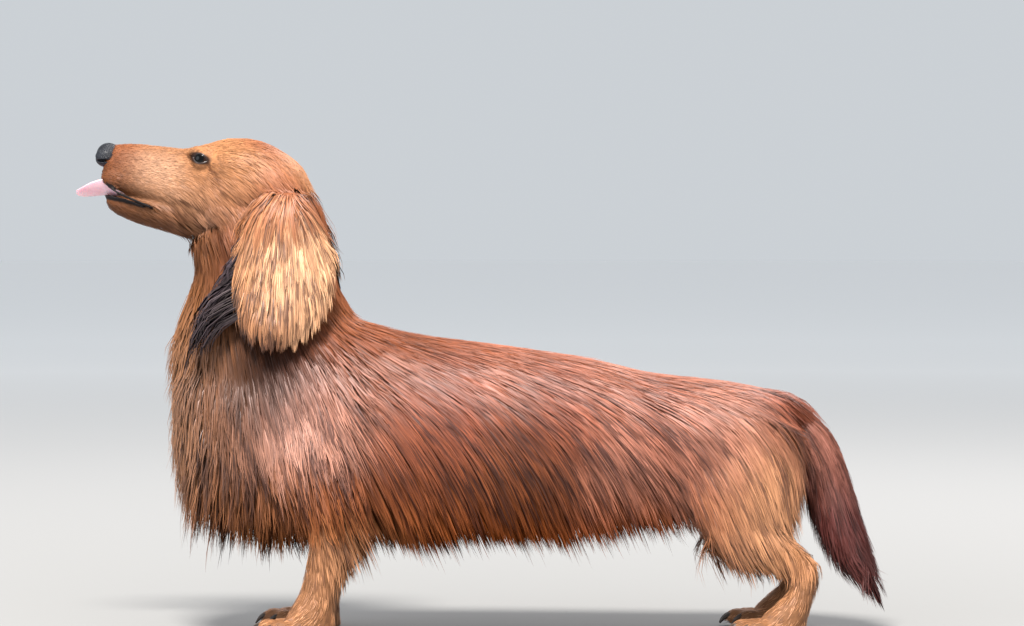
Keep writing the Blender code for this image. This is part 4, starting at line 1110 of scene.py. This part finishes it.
# The pads. Each paw stands on black, rough, cushion-like skin: one oval pad under each toe and
# a broad three-lobed one behind them.
TOE_PAD = (6.2, 4.3, 3.4)
TOE_PAD_BACK = 0.001  # metres behind the toe's middle
HEEL_PAD = ((2, -6.5, (7, 6, 4)), (-1, 0, (8, 7, 4.4)), (2, 6.5, (7, 6, 4)))
PAD_SEGMENTS = 20
PAD_VOXEL = 0.0007
PAD_REST = 3.1  # height of a pad's middle
PAD_SOLE = 0.0002
pad_finish = Finish("paw_pad", 0.62)
pad_finish.colour(pad_finish.ramp(
    pad_finish.noise(400, 3), ((0.3, (0.012, 0.011, 0.011)), (0.75, (0.050, 0.043, 0.040)))
))
pad_finish.bump(pad_finish.noise(1100, 3), 0.0003)
for which, (heel_x, heel_y, *_) in PAWS.items():
    for hand, side in SIDES:
        cushions = [
            (Vector((toe.x + TOE_PAD_BACK, toe.y, 0)), TOE_PAD) for toe in toe_places(which, hand)
        ]
        cushions += [
            (body_place(heel_x + back, hand * heel_y + across, 0), size)
            for back, across, size in HEEL_PAD
        ]
        for at, size in cushions:
            at.z = PAD_REST * MILLIMETRE
        paw_pads = piece_from(
            f"pads_{which}_{side}", [ball(at, size, PAD_SEGMENTS) for at, size in cushions]
        )
        melt(paw_pads, PAD_VOXEL, 3)
        for vert in paw_pads.data.vertices:
            vert.co.z = max(vert.co.z, PAD_SOLE)
        paw_pads.data.shade_smooth()
        pad_finish.put_on(paw_pads)
        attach(paw_pads, "root")


# The coat. Long, soft, glossy hair, made as thin tapered tufts rooted in the skin. Each tuft
# is a flat three-sided lock that follows the lie of the chart and keeps over the skin, and
# neighbours draw together towards their tips, as real hair does.
COAT_SEED = 7
draw = np.random.default_rng(COAT_SEED)
bm = bmesh.new()
bm.from_mesh(skin.data)
bmesh.ops.triangulate(bm, faces=bm.faces)
skin_tree = BVHTree.FromBMesh(bm)
bm.to_mesh(skin.data)
bm.free()
skin_corners = np.empty(len(skin.data.polygons) * 3, np.int32)
skin.data.polygons.foreach_get("vertices", skin_corners)
skin_corners = skin_corners.reshape(-1, 3)
skin_points = to_plan(read_points(skin.data))
skin_ups = read_points(skin.data, "normal")
# The triangles are put in the order in which they lie along a slant, because the random draws
# pick them by number, and the cutting of mouth and lids doesn't number them alike each time.
slant = np.array((1, math.sqrt(2), math.sqrt(3)))
first = np.argmin(skin_points[skin_corners] @ slant, axis=1)[:, None]
skin_corners = np.take_along_axis(skin_corners, (first + np.arange(3)) % 3, axis=1)
skin_corners = skin_corners[np.argsort(skin_points[skin_corners].mean(1) @ slant)]
triangles = skin_points[skin_corners]
triangle_middles = triangles.mean(1)
face_ups = np.cross(triangles[:, 1] - triangles[:, 0], triangles[:, 2] - triangles[:, 0])
triangle_areas = np.linalg.norm(face_ups, axis=1) / 2


def roots_on(chosen, count):
    """Random places on the chosen triangles, with the skin's upward direction there."""
    share = triangle_areas[chosen] / triangle_areas[chosen].sum()
    picked = chosen[draw.choice(len(chosen), count, p=share)]
    a, b = draw.random((2, count))
    over = a + b > 1
    a[over], b[over] = 1 - a[over], 1 - b[over]
    corners = np.stack([1 - a - b, a, b], 1)[:, :, None]
    return (
        (skin_points[skin_corners[picked]] * corners).sum(1),
        unit((skin_ups[skin_corners[picked]] * corners).sum(1)),
    )


def skin_below(places):
    """The nearest place of the skin and its upward direction."""
    found = [skin_tree.find_nearest(place)[:2] for place in from_plan(places).tolist()]
    return to_plan(np.array([at for at, up in found])), np.array([up for at, up in found])


ROOT_SUNK = 0.8  # millimetres below the skin
LIFT_AT_ROOT = 0.10  # how steeply a tuft leaves the skin
LEAST_BEND = 0.45  # below this length a bent heading can't be trusted
ROOT_HEIGHT = 0.35  # share of its height that a tuft has at its root
MOST_LIFTED = 5  # in one step
# Heights over the skin: a tuft follows it below the first, takes its upward direction below
# the second, and runs free of it above the third.
CLINGING, LOOSE, FREE = 5, 8, 10


def grow(roots, ups, lengths, heights, hangs, lie_at, joints):
    """Tuft paths that leave the skin at their roots and lie over it to their tips."""
    path = [roots - ups * ROOT_SUNK]
    at, up = roots, ups
    last = lie_at(roots, 0)
    near = np.ones(len(roots))
    step = (lengths / (joints - 1))[:, None]
    for joint in range(1, joints):
        along = joint / (joints - 1)
        heading = lie_at(at, along)
        outward = (heading * up).sum(1)
        wanted = np.where(outward > 0, outward * hangs, 0.0) + LIFT_AT_ROOT * (1 - along)
        bent = heading + up * (np.where(near > 0, wanted - outward, 0) * near)[:, None]
        clear = np.linalg.norm(bent, axis=1) > LEAST_BEND
        heading = unit(np.where(clear[:, None], bent, last))
        last = heading
        at = at + heading * step
        ground, below = skin_below(at)
        above = ((at - ground) * below).sum(1)
        needed = heights * (ROOT_HEIGHT + (1 - ROOT_HEIGHT) * along)
        lifted = np.clip(needed - above, 0, MOST_LIFTED)
        near = np.clip((FREE - above) / (FREE - CLINGING), 0, 1)
        at = at + below * lifted[:, None]
        up = unit(np.where((above < LOOSE)[:, None], below, up))
        path.append(at)
    return np.stack(path, 1)


def nearest_of(places, others):
    """For each place, the number of the nearest of others and its distance."""
    tree = KDTree(len(others))
    for number, other in enumerate(others.tolist()):
        tree.insert(other, number)
    tree.balance()
    found = [tree.find(place)[1:] for place in places.tolist()]
    return np.array([number for number, gap in found]), np.array([gap for number, gap in found])


CLUMP_REACH = 6.0  # millimetres from its leader at which a tuft starts to go its own way
LOCK_RADIUS = 5.0
LOCK_SHADE = 0.65  # share of a tuft's shade that its lock sets


def draw_together(paths, per_clump, pull):
    """Moves the tips of neighbouring tufts towards a shared tip."""
    count, joints = paths.shape[:2]
    leaders = draw.choice(count, max(count // per_clump, 1), replace=False)
    own = leaders[nearest_of(paths[:, 0], paths[leaders, 0])[0]]
    apart = np.linalg.norm(paths[own, 0] - paths[:, 0], axis=1)[:, None, None]
    share = np.linspace(0, 1, joints)[None, :, None] ** 1.3 * pull
    share = share * np.clip(2 - apart / CLUMP_REACH, 0, 1)
    keep = draw.uniform(0.6, 1.0, (count, 1, 1))
    drawn = paths + (paths[own] - paths) * share * keep
    shades = LOCK_SHADE * draw.random(count)[own] + (1 - LOCK_SHADE) * draw.random(count)
    return drawn, (drawn - drawn[own]) / LOCK_RADIUS, shades


LEAST_EASED = 0.12


def ease_in(roots, before, reach):
    """Low hair beside the coat in front of it, whose tips lie over it."""
    return np.clip(nearest_of(roots, before)[1] / reach, LEAST_EASED, 1)


PATCHES = (0.11, 0.13, 0.17)  # how fast the wave changes from place to place


def wander(paths, amount, waves):
    """A soft wave from side to side, different in each patch of hair."""
    count, joints = paths.shape[:2]
    along = unit(paths[:, -1] - paths[:, 0])
    side = unit(np.cross(along, draw.normal(size=(count, 3))))
    phase = (paths[:, 0] @ np.array(PATCHES))[:, None] + draw.normal(0, 0.5, (count, 1))
    t = np.linspace(0, 1, joints)[None, :]
    swing = np.sin(phase + t * waves * 2 * math.pi) * t * amount[:, None]
    return paths + side[:, None, :] * swing[:, :, None]


def hand_of(places):
    """1 on the dog's right, and -1 on its left."""
    return np.where(places[:, 1] < 0, -1.0, 1.0)


BAKE_PATCH = 0.003  # across, on the unwrap
HALF_CHART = 0.49  # of the unwrap for each of a pair


def unwrapped(roots, axis):
    """Places on an unwrap of the skin: along a part's axis, and round it."""
    start, end = (np.array(point, float) for point in axis)
    hand = hand_of(roots)
    paired = start[1] != 0
    middle = start * (scale_sideways(hand) if paired else 1)
    along = (end - start) * (1, 0, 1)
    reach = np.linalg.norm(along)
    along = along / reach
    first = np.array([0.0, 1.0, 0.0])
    second = np.cross(along, first)
    offset = roots - middle
    u = np.clip((offset @ along) / reach, 0, 1)
    v = np.arctan2(offset @ second, offset @ first) / (2 * math.pi) + 0.5
    if paired:
        u = u * HALF_CHART + np.where(hand > 0, 1 - HALF_CHART, 0.0)
    return np.stack([u, v], 1) * (1 - 4 * BAKE_PATCH) + 2 * BAKE_PATCH


BRIGHTNESS = (0.3, 0.6, 0.1)  # of red, green and blue
FULL_SHEEN = 0.055  # brightness from which hair is fully glossy
LEAST_SHEEN = 0.04


def sheen_of(colours, most):
    """How glossy the hair is. Dark hair lies in deep shade and shows little shine."""
    return most * np.clip(colours @ np.array(BRIGHTNESS) / FULL_SHEEN, LEAST_SHEEN, 1)


# A tuft is widest a quarter of the way along, a lock is round, and so is each tuft's face.
WIDTH_ALONG = (0.6, 1.0, 0.9, 0.55, 0.2)
THICKNESS_SHARE = 0.38
LOCK_ROUNDNESS = 0.38
ROUNDNESS = 0.38
LEAN = 0.10  # how unevenly the tufts face, which breaks up their shine
EDGE_GAP = 0.7  # millimetres that the hair keeps inside the solids' box
LOWEST, HIGHEST = (to_plan(np.array(corner)) for corner in solid_box)


def build_tufts(name, paths, off_lock, shades, ups, widths, colours, sheen, axis):
    """One mesh of closed, tapered, three-sided tufts, with its bake patches."""
    paths = np.clip(paths, LOWEST + EDGE_GAP, HIGHEST - EDGE_GAP)
    count, joints = paths.shape[:2]
    rings = joints - 1
    tangent = np.empty_like(paths)
    tangent[:, 1:-1] = paths[:, 2:] - paths[:, :-2]
    tangent[:, 0] = paths[:, 1] - paths[:, 0]
    tangent[:, -1] = paths[:, -1] - paths[:, -2]
    tangent = unit(tangent)
    side = unit(np.cross(ups[:, None, :], tangent))
    crown = np.cross(tangent, side)
    shape = np.interp(np.linspace(0, 1, joints)[:rings], np.linspace(0, 1, 5), WIDTH_ALONG)
    half = widths[:, None] * shape[None, :] / 2
    corners = np.empty((count, rings, 3, 3))
    corners[:, :, 0] = paths[:, :rings] - side[:, :rings] * half[:, :, None]
    corners[:, :, 1] = paths[:, :rings] + side[:, :rings] * half[:, :, None]
    rise = half * 2 * THICKNESS_SHARE
    corners[:, :, 2] = paths[:, :rings] + crown[:, :rings] * rise[:, :, None]
    points = np.concatenate([corners.reshape(count, -1, 3), paths[:, -1:]], 1)
    per_tuft = rings * 3 + 1
    faces = [(0, 2, 1)]
    for ring in range(rings - 1):
        for edge in range(3):
            a, b = ring * 3 + edge, ring * 3 + (edge + 1) % 3
            faces += [(a, b, b + 3), (a, b + 3, a + 3)]
    last = (rings - 1) * 3
    faces += [(last + edge, last + (edge + 1) % 3, per_tuft - 1) for edge in range(3)]
    faces = np.array(faces)
    corners_all = (faces[None] + (np.arange(count) * per_tuft)[:, None, None]).reshape(-1)
    data = bpy.data.meshes.new(name)
    data.vertices.add(count * per_tuft)
    data.vertices.foreach_set("co", from_plan(points.reshape(-1, 3)).astype(np.float32).ravel())
    data.loops.add(len(corners_all))
    data.loops.foreach_set("vertex_index", corners_all.astype(np.int32))
    data.polygons.add(len(corners_all) // 3)
    data.polygons.foreach_set("loop_start", np.arange(0, len(corners_all), 3, dtype=np.int32))
    data.update()
    data.validate()
    data.shade_smooth()
    along = np.concatenate([np.repeat(np.linspace(0, 1, joints)[:rings], 3), [1.0]])
    palest_root = 0.3 if joints < 5 else 0.0  # short hair isn't dark at its roots
    set_numbers(data, "along", np.tile(np.maximum(along, palest_root), count))
    set_numbers(data, "shade", np.repeat(shades, per_tuft))
    set_numbers(data, "sheen", np.repeat(sheen, per_tuft))
    set_colours(data, "markings", np.repeat(colours, per_tuft, axis=0))
    across_lock = np.clip((off_lock * side).sum(2), -1, 1)[:, :rings, None]
    tilt = draw.normal(0, LEAN, (count, 1, 1)) + across_lock * LOCK_ROUNDNESS
    crest = crown[:, :rings] + side[:, :rings] * tilt
    silk = np.stack([
        crest - side[:, :rings] * ROUNDNESS, crest + side[:, :rings] * ROUNDNESS, crest,
    ], 2)
    silk = np.concatenate([silk.reshape(count, -1, 3), crest[:, -1:]], 1).reshape(-1, 3)
    data.normals_split_custom_set_from_vertices(unit(silk).tolist())
    across = np.concatenate([np.tile([-1.0, 1.0, 0.0], rings), [0.0]])
    patch = np.stack([across, along * 2 - 1], 1) * BAKE_PATCH / 2
    uv = unwrapped(paths[:, 0], axis)[:, None, :] + patch[None]
    layer = data.uv_layers.new(name="OFBake")
    layer.data.foreach_set("uv", uv.reshape(-1, 2)[corners_all].astype(np.float32).ravel())
    piece = bpy.data.objects.new(name, data)
    bpy.context.scene.collection.objects.link(piece)
    return piece


hair = Finish("hair", 0.47, Specular_Tint=(1.0, 0.85, 0.84, 1.0))
# Each tuft's shade value scales its colour: a random tone per lock, spread on the sides into
# painted streaks of sheen and shade, with the palest given a cool painted sheen.
strand = hair.ramp(
    hair.attribute("shade").outputs["Fac"],
    ((0.12, (0.30, 0.26, 0.26)), (0.38, (0.80, 0.80, 0.80)), (0.65, (1.15, 1.15, 1.15)),
     (0.92, (1.6, 1.7, 1.8))),
)
root_fade = hair.ramp(
    hair.attribute("along").outputs["Fac"],
    ((0.0, (0.55, 0.50, 0.48)), (0.4, (0.95, 0.95, 0.95)), (1.0, (1.15, 1.15, 1.15))),
)
tinted = hair.multiply(hair.attribute("markings").outputs["Color"], strand)
hair.colour(hair.multiply(tinted, root_fade))
hair.join(hair.attribute("sheen").outputs["Fac"], hair.shader.inputs["Specular IOR Level"])


def finish_coat(piece, slot):
    hair.put_on(piece)
    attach(piece, "root")


# Each coat piece: how many tufts, joints in each, tuft width in millimetres, tufts drawn
# together, how strongly, the wave, the slot of its finish, its gloss, and the axis of its
# unwrap. The pieces are made in this order, because some read the roots of one before them.
COATS = {
    "head": (22000, 3, 0.75, 5, 0.35, 0.2, "head_hair", 0.5, ((-310, 0, 372), (-135, 0, 372))),
    "neck": (7000, 5, 1.2, 7, 0.55, 1.2, "neck_hair", 0.8, ((-195, 0, 370), (-150, 0, 200))),
    "chest": (8000, 5, 1.2, 9, 0.6, 5.5, "body_hair", 0.9, ((-260, 0, 170), (-90, 0, 170))),
    "torso": (21000, 4, 0.92, 7, 0.45, 1.2, "body_hair", 0.9, ((-130, 0, 165), (260, 0, 160))),
    "hindquarters": (
        9500, 4, 1.05, 8, 0.45, 1.2, "hindleg_hair", 0.9, ((140, 0, 150), (270, 0, 140)),
    ),
    "forelegs": (3000, 4, 1.0, 5, 0.4, 0.4, "foreleg_hair", 0.6, ((-136, 49, 130), (-136, 49, 0))),
    "hind_feet": (2600, 4, 1.0, 5, 0.4, 0.4, "hindleg_hair", 0.6, ((225, 47, 110), (245, 47, 0))),
}
MOST_TRIANGLES = 190000  # in one piece
LENGTH_RANGE = (0.85, 1.35)  # of the chart's length
UNEVEN = 0.7  # how much shorter some freely hanging tufts are
WISPS, WISP_LENGTH = 0.12, 1.3  # share of hanging tufts that are longer, and by how much
SHORT_ROUND_EYE = (4, 20)  # from the eye's middle: shortest within, and full beyond
LEAST_LENGTH = 0.3
LOFT, BREAST_LOFT = 2.6, 6  # how much hanging hair stands off, and how much more in front
BREAST_START, BREAST_BAND = -215, 20
MOST_LOFT = 17.0  # how far the longest hair of the breast stands off
LEAST_HEIGHT = 0.12
JAW_OVERLAP = 26  # how far behind the jaw the neck's hair lies low, in its shade
# how dark the painted shade on the neck's hair is, right behind the jaw
JAW_SHADE = 0.4
BODY_WAVES = 0.7
CALM = ("hindquarters", "forelegs", "hind_feet")  # coats without strong streaks
CALM_CONTRAST = 0.6
WIDTH_RANGE = (0.6, 1.2)
FULL_WIDTH_LENGTH = 20  # shorter tufts are thinner too
LEAST_WIDTH = 0.55
# The gloss of trunk and neck by height: none under the belly, and less along the back.
GLOSS_HEIGHTS, GLOSS_SHARES = (110, 175, 225, 255), (0.04, 1.0, 1.0, 0.3)


def body_lie(at, along):
    return combing.read(at)["lie"]


def contrast_at(roots):
    """The coat is even on the back and head, and streaky on the sides and below, where the streaks
    are partly a random tone per lock and partly painted sheen and shade.
    """
    return 0.45 + 1.1 * np.clip((225 - roots[:, 2]) / 55, 0, 1)


# No hair grows on the lips, in the openings of the lids, or under the paws.
BARE_LIP, BARE_LID, BARE_SOLE = 2.4, 1.12, 1.2
LID_REACH = 3  # beyond the eyeball
chart_at = combing.read(triangle_middles)
in_lids = eye_distance(triangle_middles) < BARE_LID
bare = in_lids & (eye_far(triangle_middles) < EYE_RADIUS + LID_REACH)
bare |= near_lips(triangle_middles) < BARE_LIP
bare |= triangle_middles[:, 2] < BARE_SOLE
ear_faces = on_ear(triangle_middles)
tail_faces = on_tail(triangle_middles)
body_faces = ~bare & ~ear_faces & ~tail_faces
root_places = {}
for region, (count, joints, width, clump, pull, wave, slot, gloss, axis) in COATS.items():
    inside = chart_at["region"] == REGIONS.index(region)
    roots, ups = roots_on(np.nonzero(inside & body_faces)[0], count)
    root_places[region] = roots
    chart = combing.read(roots)
    hang = chart["hang"]
    lengths = chart["length"] * draw.uniform(*LENGTH_RANGE, count)
    lengths *= 1 - UNEVEN * hang * draw.random(count) ** 2
    lengths *= np.where(draw.random(count) < WISPS * hang, WISP_LENGTH, 1)
    shortest, full = SHORT_ROUND_EYE
    lengths *= np.clip((eye_far(roots) - shortest) / (full - shortest), LEAST_LENGTH, 1)
    in_front = np.clip((BREAST_START - roots[:, 0]) / BREAST_BAND, 0, 1)
    loft = 1 + hang * (LOFT + BREAST_LOFT * in_front)
    deepest = chart["depth"] * (loft if region in ("chest", "neck") else 1)
    heights = np.minimum(deepest, MOST_LOFT) * draw.uniform(LEAST_HEIGHT, 1.0, count)
    behind_jaw = np.ones(count)
    if region == "neck":
        behind_jaw = ease_in(roots, root_places["head"], JAW_OVERLAP)
    heights *= behind_jaw
    paths = grow(roots, ups, lengths, heights, hang, body_lie, joints)
    paths = wander(paths, wave * draw.uniform(0.3, 1, count), BODY_WAVES)
    paths, off_lock, shades = draw_together(paths, clump, pull)
    contrast = contrast_at(roots) * (CALM_CONTRAST if region in CALM else 1)
    shades = np.clip(0.5 + (shades - 0.5) * contrast, 0, 1)
    # Painted shade darkens the neck's hair just behind the jaw.
    shades *= JAW_SHADE + (1 - JAW_SHADE) * behind_jaw
    off_lock = off_lock * contrast[:, None, None]
    widths = width * draw.uniform(*WIDTH_RANGE, count)
    widths *= np.clip(lengths / FULL_WIDTH_LENGTH, LEAST_WIDTH, 1)
    colours = colour_of(roots)
    sheen = sheen_of(colours, gloss)
    if region in ("torso", "chest", "neck"):
        sheen *= np.interp(roots[:, 2], GLOSS_HEIGHTS, GLOSS_SHARES)
    tufts = (paths, off_lock, shades, ups, widths, colours, sheen)
    parts = math.ceil(count / (MOST_TRIANGLES // ((joints - 2) * 6 + 4)))
    order = np.argsort(roots[:, 0])
    for part, picked in enumerate(np.array_split(order, parts), 1):
        name = f"coat_{region}" + (f"_{part}" if parts > 1 else "")
        finish_coat(build_tufts(name, *(values[picked] for values in tufts), axis), slot)


# The ears' hair. It fans from the fold at the top of each ear, blond over red, straight and
# silky, hangs in pointed locks past the leather, and turns into a wavy black fringe in front.
EAR_BASE = np.array((-154, 40, 357.0))
EAR_OUTER, EAR_INNER, EAR_FRINGE, EAR_CAP = 3900, 500, 420, 800
EAR_AXIS = ((-168, 45, 362), (-168, 56, 245))
EAR_JOINTS = 5
EAR_HANG = 0.6
EAR_WAVES = 0.6
EAR_CONTRAST = 1.25
EAR_GLOSS = 0.7
FRINGE_GLOSS = 0.4  # at least


def ear_radial(at, along):
    """Down and away from the fold of the ear."""
    sides = hand_of(at)
    away = at - EAR_BASE * scale_sideways(sides)
    away[:, 0] *= np.where(away[:, 0] < 0, 0.35, 1.05) * (1 - 0.7 * along)
    away[:, 1] = sides * (3 - 6 * along)
    away[:, 2] = np.minimum(away[:, 2], -6 - 0.55 * np.abs(away[:, 0]))
    return unit(away)


def fringe_lie(at, along):
    """The black fringe swings down and forward, and hangs at its ends."""
    outward = hand_of(at)[:, None] * (0, 0.05, 0)
    return unit(outward + (-1.5 + 1.3 * along, 0, -0.4 - 0.6 * along))


def from_front_edge(x, z):
    """How far a place of the ear lies behind its front edge."""
    return x - np.interp(z, EAR_STATIONS[:, 2], EAR_STATIONS[:, 0] - EAR_STATIONS[:, 3])


def ear_colours(roots):
    """Blond streaks over red, darker in front, with painted shade at the ear's foot."""
    x, z = roots[:, 0] - POLL.x, roots[:, 2] - POLL.z
    streak = np.sin(x * 0.9 + 0.05 * z) * 0.5 + 0.5
    streaky = 0.25 + 0.5 * streak * draw.random(len(roots))
    base = mix(HAIR_COLOURS["blond"], HAIR_COLOURS["copper"], streaky)
    base = mix(base, HAIR_COLOURS["rust"], np.interp(z, (-24, -14, -5), (0, 0.3, 0.85)))
    base = mix(base, HAIR_COLOURS["tan"], np.minimum(-x / 50, 0.75))
    # Painted shade darkens the foot of the ear towards its front.
    base = mix(base, HAIR_COLOURS["umber"], np.minimum((-70 - z) / 40, (8 - x) / 25))
    edge = np.where(z < -26, from_front_edge(x, z), 99)
    dark = np.minimum((7.5 - edge) / 4, (edge + (-50 - z) * 0.4) / 3)
    return mix(base, HAIR_COLOURS["black"], dark)


ear_chosen = np.nonzero(ear_faces)[0]
ear_sides = hand_of(triangle_middles[ear_chosen])
outward = face_ups[ear_chosen, 1] * ear_sides > 0
x, z = triangle_middles[ear_chosen, 0] - POLL.x, triangle_middles[ear_chosen, 2] - POLL.z
front = (from_front_edge(x, z) < 7) & (z < -30) & (z > -98)
top = z > -40
# Faces, how many tufts, their lie, shortest and longest, lowest and highest, tuft width, tufts
# drawn together, how strongly, and the wave.
EAR_COATS = (
    (outward, EAR_OUTER, ear_radial, (22, 33), (1.0, 7.0), 1.1, 7, 0.75, 1.2),
    (~outward, EAR_INNER, ear_radial, (14, 24), (0.5, 3.0), 1.2, 6, 0.5, 1.0),
    (outward & top, EAR_CAP, ear_radial, (32, 56), (2.0, 7.0), 1.1, 7, 0.8, 1.5),
    (front, EAR_FRINGE, fringe_lie, (48, 88), (1.0, 9.0), 0.8, 11, 0.9, 6.0),
)
for hand, side in SIDES:
    made = []
    for faces, count, lie, reach, over, width, clump, pull, wave in EAR_COATS:
        roots, ups = roots_on(ear_chosen[(ear_sides == hand) & faces], count)
        lengths = draw.uniform(*reach, count)
        if lie is fringe_lie:
            lengths *= 0.25 + 0.75 * np.clip((POLL.z - 42 - roots[:, 2]) / 34, 0, 1)
        else:
            lengths *= np.interp(roots[:, 2] - POLL.z, (-112, -85), (0.72, 1))
        heights = draw.uniform(*over, count)
        paths = grow(roots, ups, lengths, heights, np.full(count, EAR_HANG), lie, EAR_JOINTS)
        paths = wander(paths, wave * draw.uniform(0.3, 1, count), EAR_WAVES)
        paths, off_lock, shades = draw_together(paths, clump, pull)
        shades = np.clip(0.5 + (shades - 0.5) * EAR_CONTRAST, 0, 1)
        colours = ear_colours(roots)
        if lie is fringe_lie:
            colours = HAIR_COLOURS["black"] * draw.uniform(1.2, 4.5, (count, 1))
        widths = width * draw.uniform(0.6, 1.25, count)
        sheen = sheen_of(colours, EAR_GLOSS)
        if lie is fringe_lie:
            sheen = np.maximum(sheen, FRINGE_GLOSS)
        made.append((paths, off_lock, shades, ups, widths, colours, sheen))
    tufts = (np.concatenate(values) for values in zip(*made))
    finish_coat(build_tufts(f"coat_ear_{side}", *tufts, EAR_AXIS), "ear_hair")


# The tail's hair. A thin bone carries a plume of long, straight, dark hair that hangs close
# behind the thigh and widens downwards, with its tips gathered at the end.
TAIL_TUFTS = 4600
TAIL_AXIS = ((250, 0, 185), (318, 0, 45))
TAIL_JOINTS = 5
TAIL_HANG = 0.8
RUMP_OVERLAP = 40  # how far down the tail its hair lies low under the rump's
tail_line = np.array(smooth_rows(TAIL, STATION_STEPS))
tail_run = unit(np.gradient(tail_line[:, :3], axis=0))


def tail_lie(at, along):
    """Along the tail, and away from its bone on the way."""
    nearest = np.argmin(((at[:, None] - tail_line[None, :, :3]) ** 2).sum(2), axis=1)
    off = unit(at - tail_line[nearest, :3])
    inner = np.clip(-off[:, 0], 0, 1)[:, None]
    spread = (0.55 + 0.35 * inner) - (0.50 + 0.25 * inner) * along
    return unit(tail_run[nearest] + off * spread + np.array((-0.02, 0, -0.12)))


tail_chosen = np.nonzero(tail_faces)[0]
roots, ups = roots_on(tail_chosen, TAIL_TUFTS)
down = np.clip((180 - roots[:, 2]) / 130, 0, 1)
lengths = (37 + 19 * np.sin(down * math.pi)) * draw.uniform(0.75, 1.1, TAIL_TUFTS)
heights = draw.uniform(0.8, 8.0, TAIL_TUFTS) * ease_in(roots, root_places["torso"], RUMP_OVERLAP)
paths = grow(roots, ups, lengths, heights, np.full(TAIL_TUFTS, TAIL_HANG), tail_lie, TAIL_JOINTS)
paths = wander(paths, 1.5 * draw.uniform(0.3, 1, TAIL_TUFTS), 0.6)
paths, off_lock, shades = draw_together(paths, 8, 0.6)
# The tail's top gets the painted pink sheen, darkening down into its own plum.
colours = mix(HAIR_COLOURS["rosewood"], HAIR_COLOURS["plum"], 0.55 + down * 1.2)
widths = 1.2 * draw.uniform(0.6, 1.2, TAIL_TUFTS)
sheen = sheen_of(colours, 0.9) * np.clip((190 - roots[:, 2]) / 50, 0.5, 1)
tufts = (paths, off_lock, shades, ups, widths, colours, sheen)
finish_coat(build_tufts("coat_tail", *tufts, TAIL_AXIS), "tail_hair")

boxes = {"solids": solid_box, "visual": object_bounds()}
{name: [list(corner) for corner in box] for name, box in boxes.items()}
